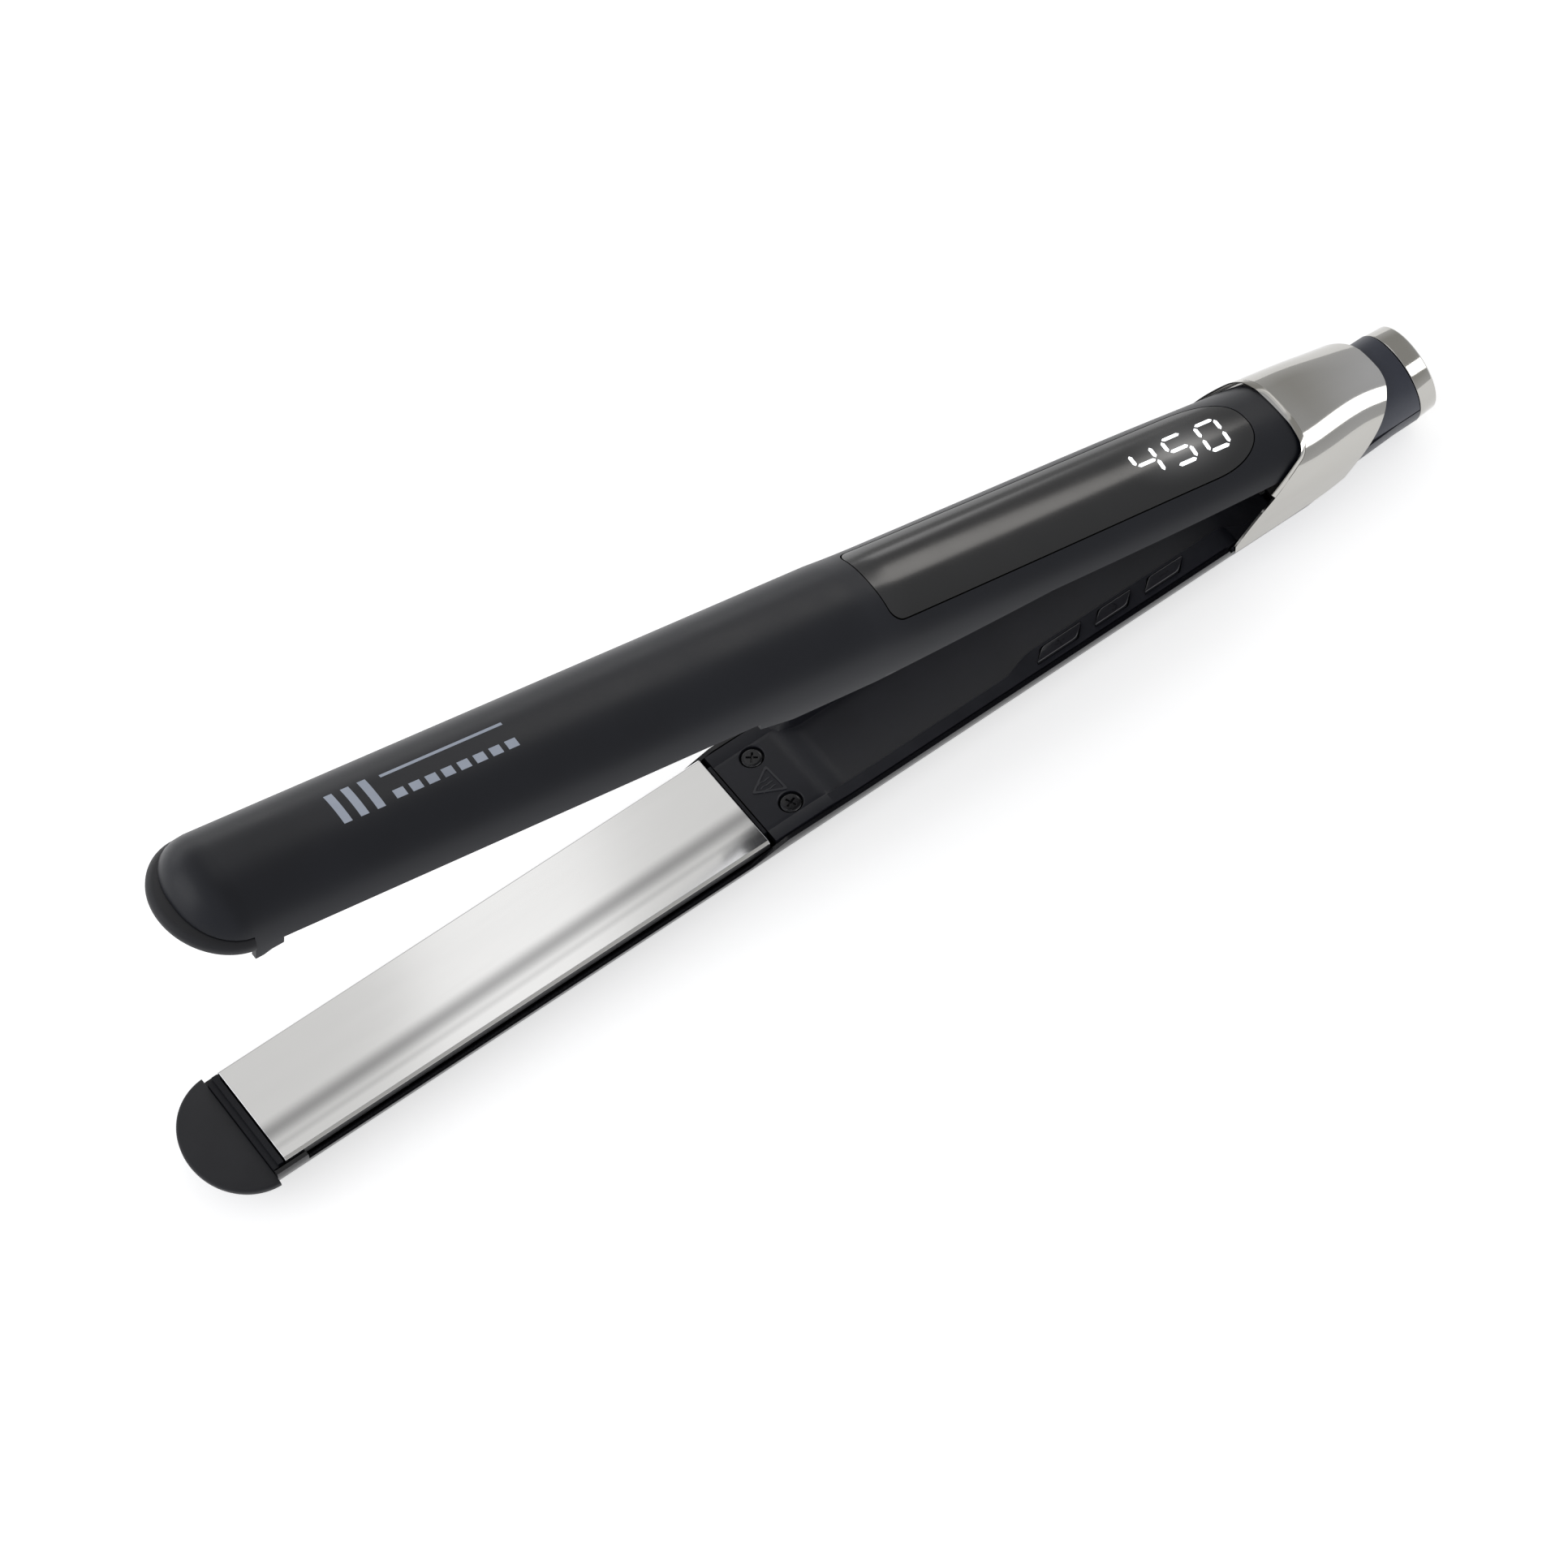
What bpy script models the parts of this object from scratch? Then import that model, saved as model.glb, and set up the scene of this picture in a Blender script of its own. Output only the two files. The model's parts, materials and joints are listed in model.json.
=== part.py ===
"""Flat iron: two hinged arms with floating plates, buttons, display, hood and cord gland.

Working sizes are in millimetres.  Each arm is drawn in (x, y, w): x runs from the front edge of
the plate toward the cord end, w is the depth below the plate's working face.  The lower arm maps
to z = -w.  The upper arm maps to z = GAP + w and is then swung open about the hinge pin.
"""
import math

import bmesh
import bpy
from mathutils import Vector

MM = 0.001
X_MID, Z_FLOOR = 136.55, 12.15
GAP = 0.3                                   # between the two plates when closed
PIVOT_X, PIVOT_Z, OPEN_DEG = 261.5, 0.15, 15.67
CLEAR = 0.3                                 # assembly clearance between touching pieces

PLATE_L, PLATE_W, PLATE_T = 116.3, 25.4, 2.2
TIP_RX, TIP_RY, TIP_X = 12.7, 14.85, -2.5
NOSE_RX = 10.4
SCREW_X, SCREW_Y = 125.4, 6.85
ARC = 24                                    # segments over an arm's section
ROUND = 32                                  # segments round a turned piece

LOWER = dict(b=14.0, w0=0.8, h=11.57, n=2.0, flat=12.15, b_in=13.02, h_in=9.9)
UPPER = dict(b=14.6, w0=0.0, h=13.2, n=2.3, flat=None, b_in=13.3, h_in=10.9)

BARREL_R, BARREL_Z, BARREL_END = 10.35, -1.9, 283.8
WINDOW_T = 1.3
BUTTONS = {"plus_button": (184.0, 197.0), "power_button": (198.6, 209.7),
           "minus_button": (211.3, 223.0)}
SLANT = 3.0                                 # lean of a button's ends


# ---------------------------------------------------------------- placing and materials
def clear_scene():
    for ob in list(bpy.data.objects):
        bpy.data.objects.remove(ob, do_unlink=True)
    for coll in list(bpy.data.collections):
        bpy.data.collections.remove(coll)
    made = []
    for name in ("flat_iron", "cutters"):
        coll = bpy.data.collections.new(name)
        bpy.context.scene.collection.children.link(coll)
        made.append(coll)
    return made


def place(point, frame):
    """Millimetres in an arm's frame to metres in the row frame."""
    x, y, w = point
    if frame == "lower":
        z = -w
    elif frame == "upper":
        angle = math.radians(OPEN_DEG)
        dx, dz = x - PIVOT_X, GAP + w - PIVOT_Z
        x = PIVOT_X + dx * math.cos(angle) + dz * math.sin(angle)
        z = PIVOT_Z - dx * math.sin(angle) + dz * math.cos(angle)
    else:
        z = w
    return Vector(((x - X_MID) * MM, y * MM, (z + Z_FLOOR) * MM))


def material(name, rgb, rough, metal=0.0):
    mat = bpy.data.materials.new(name)
    mat.use_nodes = True
    shader = mat.node_tree.nodes["Principled BSDF"]
    shader.inputs["Base Color"].default_value = (*rgb, 1.0)
    shader.inputs["Roughness"].default_value = rough
    shader.inputs["Metallic"].default_value = metal
    return mat


LOOKS = {"shell": ((0.02, 0.021, 0.026), 0.55, 0.0), "gloss": ((0.012, 0.012, 0.015), 0.2, 0.0),
         "silver": ((0.82, 0.82, 0.83), 0.22, 1.0), "chrome": ((0.62, 0.61, 0.59), 0.1, 1.0),
         "steel": ((0.45, 0.45, 0.46), 0.35, 1.0), "barrel": ((0.05, 0.055, 0.075), 0.5, 0.0),
         "ceramic": ((0.85, 0.83, 0.78), 0.6, 0.0), "rubber": ((0.35, 0.1, 0.08), 0.7, 0.0),
         "board": ((0.02, 0.16, 0.07), 0.5, 0.0), "wire": ((0.8, 0.8, 0.78), 0.5, 0.0)}


def finish(name, bm, frame, look, origin=None, smooth=False, cutter=False):
    """Turn a millimetre bmesh into a named object; origin is a millimetre point."""
    home = place(origin, frame) if origin else Vector((0, 0, 0))
    bmesh.ops.recalc_face_normals(bm, faces=bm.faces)
    if frame == "lower":
        bmesh.ops.reverse_faces(bm, faces=bm.faces)
    for v in bm.verts:
        v.co = place(v.co, frame) - home
    mesh = bpy.data.meshes.new(name)
    bm.to_mesh(mesh)
    bm.free()
    ob = bpy.data.objects.new(name, mesh)
    ob.location = home
    if cutter:
        CUTTERS.objects.link(ob)
        ob.hide_render = True
        ob.display_type = 'WIRE'
        return ob
    PARTS.objects.link(ob)
    mesh.materials.append(material(name, *LOOKS[look]))
    if smooth:
        for poly in mesh.polygons:
            poly.use_smooth = True
    return ob


def boolean(ob, other, operation='DIFFERENCE'):
    mod = ob.modifiers.new(operation.lower(), 'BOOLEAN')
    mod.operation = operation
    mod.solver = 'EXACT'
    mod.object = other


# ---------------------------------------------------------------- basic solids, in millimetres
def loft(rings):
    """Skin a row of matching sections and cap both ends."""
    bm = bmesh.new()
    rows = [[bm.verts.new(p) for p in ring] for ring in rings]
    count = len(rows[0])
    for a, b in zip(rows, rows[1:]):
        for i in range(count):
            j = (i + 1) % count
            bm.faces.new((a[i], a[j], b[j], b[i]))
    bm.faces.new(rows[0][::-1])
    bm.faces.new(rows[-1])
    return bm


def prism(outline, low, high, axis, bm=None):
    """Extrude a flat outline along one axis; the outline holds the other two coordinates."""
    bm = bm or bmesh.new()
    spots = {"x": lambda p: (low, p[0], p[1]), "y": lambda p: (p[0], low, p[1]),
             "w": lambda p: (p[0], p[1], low)}[axis]
    face = bm.faces.new([bm.verts.new(spots(p)) for p in outline])
    grown = bmesh.ops.extrude_face_region(bm, geom=[face])["geom"]
    shift = {"x": (high - low, 0, 0), "y": (0, high - low, 0), "w": (0, 0, high - low)}[axis]
    bmesh.ops.translate(bm, verts=[g for g in grown if isinstance(g, bmesh.types.BMVert)],
                        vec=shift)
    return bm


def box(x0, x1, y0, y1, w0, w1, bm=None):
    return prism([(x0, y0), (x1, y0), (x1, y1), (x0, y1)], w0, w1, "w", bm)


def rod(centre, radius, low, high, axis, steps=ROUND):
    """Round bar; centre holds the two coordinates across the axis."""
    outline = [(centre[0] + radius * math.cos(2 * math.pi * i / steps),
                centre[1] + radius * math.sin(2 * math.pi * i / steps)) for i in range(steps)]
    return prism(outline, low, high, axis)


def turned(profile, centre_z):
    """Revolve a closed (x, r) outline about a line along x."""
    bm = bmesh.new()
    verts = [bm.verts.new((x, 0, centre_z + r)) for x, r in profile]
    edges = [bm.edges.new((verts[i], verts[(i + 1) % len(verts)])) for i in range(len(verts))]
    bmesh.ops.spin(bm, geom=verts + edges, cent=(0, 0, centre_z), axis=(1, 0, 0),
                   angle=2 * math.pi, steps=ROUND)
    bmesh.ops.remove_doubles(bm, verts=bm.verts, dist=0.001)
    return bm


def blend(x, table):
    """Straight-line interpolation in a table of (x, value)."""
    for (x0, v0), (x1, v1) in zip(table, table[1:]):
        if x <= x1:
            return v0 + (v1 - v0) * max(0.0, (x - x0) / (x1 - x0))
    return table[-1][1]


def arch(x, b, w0, h, n, base, flat=None, steps=ARC):
    """Arched section: a superellipse over a straight base."""
    ring = [(x, b, base)]
    for i in range(steps + 1):
        t = math.pi * i / steps
        c, s = math.cos(t), max(0.0, math.sin(t))
        y = b * math.copysign(abs(c) ** (2 / n), c)
        w = w0 + h * s ** (2 / n)
        ring.append((x, y, min(w, flat) if flat else w))
    ring.append((x, -b, base))
    return ring


# ---------------------------------------------------------------- arm shells
UPPER_H = [(140, 13.2), (147, 12.5), (152, 12.25), (200, 11.8), (230, 11.75), (258, 11.4)]
UPPER_B = [(200, 14.6), (215, 14.5), (230, 14.2), (244, 13.85), (258, 13.7)]
LOWER_B = [(252, 14.0), (256, 13.5), (260, 12.5), (264, 11.5), (268, 11.0), (272, 10.7),
           (278, 10.35)]
NOSE_X = [-12.75, -12.4, -11.7, -10.6, -9.0, -6.6, -2.5]


def arm_size(arm, x):
    """Half width, base depth and height of an arm's outside at x."""
    if arm is UPPER:
        b, h, w0 = blend(x, UPPER_B), blend(x, UPPER_H), arm["w0"]
    else:
        rear = min(1.0, max(0.0, (x - 252) / 20))
        b = blend(x, LOWER_B)
        w0 = arm["w0"] + (-BARREL_Z - arm["w0"]) * rear
        h = arm["h"] + (BARREL_R - arm["h"]) * rear
    if x < TIP_X:
        f = math.sqrt(max(0.0, 1 - ((TIP_X - x) / NOSE_RX) ** 2))
        b, h = b * f ** 0.9, h * f ** 0.9
    return b, w0, h


def arm_solid(arm, shrink_b, shrink_h, stations, base):
    rings = []
    for x in stations:
        b, w0, h = arm_size(arm, x)
        flat = arm["flat"] if not shrink_h else None
        rings.append(arch(x, b - shrink_b, w0, h - shrink_h, arm["n"], base, flat))
    return loft(rings)


LOWER_X = NOSE_X + [60, 120, 180, 240, 252, 256, 260, 264, 268, 272, 278, BARREL_END]
UPPER_X = NOSE_X + [40, 80, 120, 140, 143.5, 147, 152, 176, 200, 215, 230, 244, 252, 262]
LOWER_RIM = [(-20, 5.5), (-2.9, 5.5), (-2.9, 1.0), (4.4, 1.0), (4.4, 3.0), (111, 3.0),
             (120, 1.1), (137, 1.5), (231.2, 1.5), (231.5, 2.6), (255.6, 2.6), (260.3, 0.9),
             (264.2, -0.8), (268.3, -3.0), (268.3, 2.2), (290, 2.2)]
UPPER_RIM = [(-20, 5.5), (-2.9, 5.5), (-2.9, 0.2), (5.9, 0.2), (5.9, 3.0), (111, 3.0),
             (120, 0.2), (140, 0.4), (184, 3.7), (215, 4.2), (245.2, 4.6), (260.1, 16.0),
             (275, 16.0)]


def shell(arm, name, frame, stations, rim, cavity_end, boss_top):
    ob = finish(name, arm_solid(arm, 0, 0, stations, -4.0), frame, "shell", smooth=True)
    inner_x = [-9.3, -8.2, -6.6, -2.5] + [x for x in stations if 0 < x < cavity_end]
    inner = arm_solid(arm, arm["b"] - arm["b_in"], arm["h"] - arm["h_in"],
                      inner_x + [cavity_end], -6.0)
    boolean(ob, finish(name + "_cavity", inner, frame, None, cutter=True))
    for side in (-1, 1):
        boss = rod((SCREW_X, side * SCREW_Y), 2.4, 5.2, boss_top, "w", 20)
        boolean(ob, finish(f"{name}_boss{side}", boss, frame, None, cutter=True), 'UNION')
        hole = rod((SCREW_X, side * SCREW_Y), 1.4, 4.6, 8.2, "w", 16)
        boolean(ob, finish(f"{name}_bosshole{side}", hole, frame, None, cutter=True))
    cut = prism([(-20, -8)] + rim + [(rim[-1][0], -8)], -16, 16, "y")
    boolean(ob, finish(name + "_rim_cut", cut, frame, None, cutter=True))
    return ob


def lower_shell():
    shell(LOWER, "lower_shell", "lower", LOWER_X, LOWER_RIM, 290, 9.2)


def window_outline(grow):
    """Plan of the display panel: square front with small corners, rounded rear."""
    corner, hw, hw_rear = 2.6, 10.1 + grow, 9.5 + grow
    x0, rear_x, rear_rx = 146.3 - grow, 227.6, 15.2 + grow
    near = []
    for i in range(5):
        a = math.pi / 2 * i / 4
        near.append((x0 + corner - corner * math.cos(a), hw - corner + corner * math.sin(a)))
    for i in range(13):
        a = math.pi / 2 * i / 12
        near.append((rear_x + rear_rx * math.sin(a) ** (2 / 2.4),
                     hw_rear * math.cos(a) ** (2 / 2.4)))
    far = [(x, -y) for x, y in reversed(near[:-1])]
    return near + far


def upper_shell():
    ob = shell(UPPER, "upper_shell", "upper", UPPER_X, UPPER_RIM, 241.5, 10.3)
    pocket = finish("window_pocket", prism(window_outline(0.15), 4, 20, "w"), "upper", None,
                    cutter=True)
    floor = arm_solid(UPPER, 1.6, WINDOW_T + CLEAR, UPPER_X, -2)
    boolean(pocket, finish("window_pocket_floor", floor, "upper", None, cutter=True))
    boolean(ob, pocket)
    boolean(ob, finish("window_light_hole", prism(window_outline(-1.6), 4, 20, "w"), "upper",
                       None, cutter=True))
    for side in (-1, 1):
        slot = box(238, 262, side * 4.1, side * 6.8, -2, 6.9)
        boolean(ob, finish(f"knuckle_slot{side}", slot, "upper", None, cutter=True))


def display_window():
    ob = finish("display_window", arm_solid(UPPER, 0, 0, UPPER_X, -2), "upper", "gloss",
                smooth=True)
    boolean(ob, finish("window_plan", prism(window_outline(-0.15), 3, 20, "w"), "upper", None,
                       cutter=True), 'INTERSECT')
    under = arm_solid(UPPER, 1.3, WINDOW_T, UPPER_X, -3)
    boolean(ob, finish("window_under", under, "upper", None, cutter=True))


def tip_cap(name, frame):
    """Rounded lip at the tip with a peg into the nose."""
    rings = []
    for w, inset in ((2.8, 0.3), (3.05, 0.0), (3.7, 0.0), (4.5, 0.4), (5.2, 1.3)):
        ring = []
        for i in range(ARC + 1):
            a = math.pi * i / ARC
            ring.append((min(-3.2, TIP_X - (TIP_RX - inset) * math.sin(a)),
                         (TIP_RY - inset) * math.cos(a), w))
        rings.append([p for k, p in enumerate(ring) if k in (0, ARC) or p[0] < -3.21])
    count = min(len(r) for r in rings)
    ob = finish(name, loft([r[:count] for r in rings]), frame, "shell")
    peg = finish(name + "_peg", box(-7.2, -4.0, -4.5, 4.5, 4.6, 7.0), frame, None, cutter=True)
    boolean(ob, peg, 'UNION')


# ---------------------------------------------------------------- plates
def plate_set(prefix, frame):
    """Floating plate with its heater, carrier and two cushions."""
    half, e = PLATE_W / 2, 0.55
    section = [(-half + e, 0), (half - e, 0), (half, e), (half, PLATE_T), (9.4, PLATE_T),
               (9.4, 5.4), (8.2, 5.4), (8.2, PLATE_T), (-8.2, PLATE_T), (-8.2, 5.4),
               (-9.4, 5.4), (-9.4, PLATE_T), (-half, PLATE_T), (-half, e)]
    centre = (PLATE_L / 2, 0, 1.0)
    finish(prefix + "_plate", prism(section, 0, PLATE_L, "x"), frame, "silver", centre)
    finish(prefix + "_heater", box(12, 104, -7.4, 7.4, 2.5, 3.9), frame, "ceramic", centre)
    section = [(-10.4, 2.6), (-10.4, 6.0), (-9.4, 7.2), (9.4, 7.2), (10.4, 6.0), (10.4, 2.6),
               (9.75, 2.6), (9.75, 5.9), (-9.75, 5.9), (-9.75, 2.6)]
    carrier = finish(prefix + "_plate_carrier", prism(section, -2.6, 117.3, "x"), frame, "shell")
    front = prism([(-2.8, 1.5), (-1.6, 1.5), (-1.6, 0.6), (-0.35, 0.6), (-0.35, 7.6),
                   (-2.8, 7.6)], -12.4, 12.4, "y")
    trim = [(-12.4, 0), (12.4, 0), (12.4, 2.9), (10.25, 5.95), (9.3, 7.1), (-9.3, 7.1),
            (-10.25, 5.95), (-12.4, 2.9)]
    wall = finish(prefix + "_front_wall", front, frame, None, cutter=True)
    boolean(wall, finish(prefix + "_wall_trim", prism(trim, -5, 3, "x"), frame, None,
                         cutter=True), 'INTERSECT')
    boolean(carrier, wall, 'UNION')
    rear = finish(prefix + "_rear_wall", prism([(-9.9, 0.6), (9.9, 0.6), (9.9, 6.2), (-9.9, 6.2)],
                                               116.65, 117.35, "x"), frame, None, cutter=True)
    boolean(carrier, rear, 'UNION')
    for end, x0 in (("front", 20), ("rear", 86)):
        finish(f"{prefix}_cushion_{end}", box(x0, x0 + 10, -5.5, 5.5, 4.2, 5.6), frame,
               "rubber", (x0 + 5, 0, 4.9))


# ---------------------------------------------------------------- inner covers and screws
def cover_screw(name, frame):
    """Cross-head screw, head flush below the platform."""
    side = -1 if name.endswith("near") else 1
    at = (SCREW_X, side * SCREW_Y)
    ob = finish(name, rod(at, 2.3, 1.15, 2.3, "w", 24), frame, "gloss", smooth=False)
    boolean(ob, finish(name + "_shank", rod(at, 1.05, 1.8, 7.4, "w", 16), frame, None,
                       cutter=True), 'UNION')
    for k, (dx, dy) in enumerate(((1.35, 0.28), (0.28, 1.35))):
        slot = box(at[0] - dx, at[0] + dx, at[1] - dy, at[1] + dy, 0.9, 1.75)
        boolean(ob, finish(f"{name}_slot{k}", slot, frame, None, cutter=True))


def screw_holes(ob, name, frame):
    for side in (-1, 1):
        at = (SCREW_X, side * SCREW_Y)
        for k, (r, lo, hi) in enumerate(((2.62, 0.2, 2.62), (1.4, 2.0, 7.0))):
            hole = rod(at, r, lo, hi, "w", 24)
            boolean(ob, finish(f"{name}_screw{side}_{k}", hole, frame, None, cutter=True))


def lower_inner_cover():
    """Screw platform, slope and handle tray with the wide near flange for the buttons."""
    table = [(117.75, 1.0, 9.7, 3.6), (131.0, 1.0, 9.7, 3.6), (137.0, 4.2, 9.7, 5.6),
             (142.0, 4.6, 9.7, 5.8), (175.0, 4.6, 9.7, 5.8), (186.0, 4.6, 7.6, 5.8),
             (233.0, 4.6, 7.6, 5.8), (239.0, 4.6, 9.7, 5.8), (246.0, 4.6, 9.7, 5.8)]
    rings = []
    for x, floor, near, under in table:
        top = 1.0 if x < 132 else 1.5 if x < 235 else 2.6
        edge = 12.6 if x < 235 else 12.3
        rings.append([(x, -edge, top), (x, -near, top + 0.001), (x, -near + 0.8, floor),
                      (x, 8.8, floor), (x, 9.7, top + 0.001), (x, edge, top), (x, edge, 2.9),
                      (x, 10.8, 3.0), (x, 9.6, under), (x, -near + 0.1, under),
                      (x, -near - 1.1, 3.0), (x, -edge, 2.9)])
    ob = finish("lower_inner_cover", loft(rings), "lower", "shell")
    screw_holes(ob, "lower_cover", "lower")
    for name, (x0, x1) in BUTTONS.items():
        boolean(ob, finish(name + "_hole", prism(button_outline(x0, x1, CLEAR), 0.5, 3.6, "w"),
                           "lower", None, cutter=True))
    return ob


def upper_inner_cover():
    under = [(117.9, 1.0, 12.3), (131.0, 1.0, 12.3), (136.0, 2.9, 12.2), (184.0, 4.3, 10.6),
             (224.0, 5.0, 8.7)]
    rings = []
    for x, w, hw in under:
        top = 3.9 if x < 132 else w + 1.3
        rings.append([(x, -hw, w), (x, hw, w), (x, hw, top), (x, -hw, top)])
    ob = finish("upper_inner_cover", loft(rings), "upper", "shell")
    screw_holes(ob, "upper_cover", "upper")


# ---------------------------------------------------------------- buttons and electronics
def button_outline(x0, x1, grow):
    y0, y1 = -11.3 - grow, -8.7 + grow
    return [(x0 - grow, y0), (x1 - SLANT + grow, y0), (x1 + grow, y1), (x0 + SLANT - grow, y1)]


def button(name):
    x0, x1 = BUTTONS[name]
    centre = ((x0 + x1) / 2, -10.0, 2.2)
    ob = finish(name, prism(button_outline(x0, x1, 0), 1.2, 3.5, "w"), "lower", "gloss", centre)
    foot = prism([(x0 - 0.35, -11.75), (x1 - SLANT + 0.35, -11.75), (x1 - 0.1, -9.0),
                  (x0 + SLANT - 0.6, -9.0)], 3.3, 3.7, "w")
    foot = finish(name + "_foot", foot, "lower", None, cutter=True)
    foot.location = (0, 0, 0)
    boolean(ob, foot, 'UNION')


def electronics():
    finish("button_board", box(181, 226, -10.2, -8.9, 5.35, 6.1), "lower", "board")
    for name, (x0, x1) in BUTTONS.items():
        mid = (x0 + x1) / 2
        finish("switch_" + name.split("_")[0], box(mid - 1.6, mid + 1.6, -10.3, -8.9, 4.6, 5.05),
               "lower", "steel")
    finish("control_board", box(140, 214, -8.4, 8.4, 6.6, 7.6), "lower", "board")
    finish("thermal_fuse", rod((5.2, 7.6), 1.2, 221, 232, "x", 20), "lower", "steel",
           smooth=True)
    for name, y in (("lead_live", -2.0), ("lead_neutral", 2.0)):
        finish(name, rod((y, 8.7), 0.6, 217, 276, "x", 12), "lower", "wire", smooth=True)
    finish("display_board", box(160, 234, -6.6, 6.6, 6.65, 7.4), "upper", "board")
    finish("display_module", box(211.5, 236.5, -4.9, 4.9, 7.7, 8.5), "upper", "gloss")


# ---------------------------------------------------------------- hinge
def circle(cx, cz, r, start, stop, steps):
    return [(cx + r * math.cos(math.radians(start + (stop - start) * i / steps)),
             cz + r * math.sin(math.radians(start + (stop - start) * i / steps)))
            for i in range(steps + 1)]


def hinge():
    """Pin, lower U bracket, upper knuckle and torsion spring."""
    finish("hinge_pin", rod((PIVOT_X, PIVOT_Z), 1.8, -9.1, 9.1, "y", 24), "row", "steel",
           (PIVOT_X, 0, PIVOT_Z), smooth=True)

    base = finish("hinge_base", box(248, 261.5, -8.8, 8.8, -6.4, -5.2), "row", "steel")
    lug = [(248, -6.4), (261.5, -6.4)] + circle(PIVOT_X, PIVOT_Z, 4.0, -60, 160, 14)
    for side in (-1, 1):
        cheek = prism(lug, side * 6.9, side * 8.8, "y")
        boolean(base, finish(f"hinge_lug{side}", cheek, "row", None, cutter=True), 'UNION')
    bore = rod((PIVOT_X, PIVOT_Z), 2.1, -12, 12, "y", 24)
    boolean(base, finish("hinge_base_bore", bore, "row", None, cutter=True))

    knuckle = finish("hinge_knuckle", box(225.2, 240.6, -8.2, 8.2, 5.0, 6.3), "upper", "steel",
                     (PIVOT_X, 0, PIVOT_Z - GAP))
    pw = PIVOT_Z - GAP
    arm = [(236, 5.0), (236, 6.5), (247, 6.5)] + circle(PIVOT_X, pw, 4.2, 80, -110, 14) + \
          [(247, 1.8)]
    for side in (-1, 1):
        cheek = prism(arm, side * 4.4, side * 6.5, "y")
        boolean(knuckle, finish(f"knuckle_cheek{side}", cheek, "upper", None, cutter=True),
                'UNION')
    bore = rod((PIVOT_X, pw), 2.1, -12, 12, "y", 24)
    boolean(knuckle, finish("knuckle_bore", bore, "upper", None, cutter=True))
    torsion_spring()


def torsion_spring():
    """Coil round the pin with one leg on each arm."""
    radius, turns, per_turn, pitch = 3.2, 5, 16, 1.15
    half = turns * pitch / 2
    pts = [(251.5, -half, -4.55)]
    count = turns * per_turn + 6
    for i in range(count + 1):
        a = math.radians(270 - 360 * i / per_turn)
        y = -half + 2 * half * i / count
        pts.append((PIVOT_X + radius * math.cos(a), y, PIVOT_Z + radius * math.sin(a)))
    a = math.radians(270 - 360 * count / per_turn)
    pts.append((PIVOT_X + radius * math.cos(a) - 11.5, half, PIVOT_Z + radius * math.sin(a) + 3.4))
    curve = bpy.data.curves.new("hinge_spring", 'CURVE')
    curve.dimensions = '3D'
    curve.bevel_depth = 0.4 * MM
    curve.bevel_resolution = 2
    curve.use_fill_caps = True
    spline = curve.splines.new('POLY')
    spline.points.add(len(pts) - 1)
    home = place((PIVOT_X, 0, PIVOT_Z), "row")
    for point, p in zip(spline.points, pts):
        point.co = (*(place(p, "row") - home), 1)
    ob = bpy.data.objects.new("hinge_spring", curve)
    ob.location = home
    curve.materials.append(material("hinge_spring", *LOOKS["steel"]))
    PARTS.objects.link(ob)


# x, half width, height of the top, superellipse power, height of the widest place
HOOD = [(231, 14.8, 21.0, 2.3, 8.4), (237, 14.8, 19.6, 2.3, 6.9), (243, 14.8, 18.15, 2.3, 5.2),
        (248, 14.75, 16.9, 2.3, 3.8), (252, 14.7, 15.9, 2.3, 2.8), (255, 14.6, 15.25, 2.3, 2.15),
        (258, 14.4, 14.75, 2.26, 1.6), (261, 14.1, 14.35, 2.22, 1.15), (264, 13.75, 13.9, 2.18, 0.8),
        (267, 13.35, 13.3, 2.14, 0.55), (270, 12.95, 12.55, 2.1, 0.4), (273, 12.65, 11.65, 2.06, 0.3),
        (276, 12.4, 10.6, 2.03, 0.25), (279, 12.2, 9.4, 2.0, 0.2)]
HOOD_BASE = -2.3
HOOD_SIDE = [(232.1, -3), (232.3, -0.4), (233.1, 0.3), (236.8, 3.6), (240.6, 6.6), (245.6, 9.1),
             (249.5, 10.4), (252.2, 11.1), (253.6, 12.0), (254.5, 13.1), (254.9, 14.1),
             (255.1, 15.0), (255.2, 22), (278.7, 22), (278.7, 9.2), (278.0, 8.5), (276.4, 7.6),
             (274.3, 6.1), (271.6, 4.2), (268.4, 2.2), (265.0, 0.2), (261.4, -2.2), (260.4, -3)]


def hood_section(x, b, top, n, mid, base):
    """Egg-shaped section: widest at mid, closing a little toward the base."""
    low = b * (1 - ((min(mid, 1.0) - HOOD_BASE) / (top - mid)) ** n) ** (1 / n)
    ring = arch(x, b, mid, top - mid, n, HOOD_BASE - 0.001)
    ring[0], ring[-1] = (x, low, base), (x, -low, base)
    return ring


def hood_outside():
    return loft([hood_section(*row, HOOD_BASE - 0.001) for row in HOOD])


def hood_inside():
    """Thin wall over the hinge, closing in to the barrel at the rear."""
    rows = [(229, *HOOD[0][1:])] + [row for row in HOOD if 231 < row[0] < 272]
    rings = [hood_section(x, b - 0.5, top - 0.6, n, mid, -4) for x, b, top, n, mid in rows]
    rings += [arch(x, BARREL_R + 0.35, BARREL_Z, BARREL_R + 0.35, 2.0, -4) for x in (275, 285)]
    return loft(rings)


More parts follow.
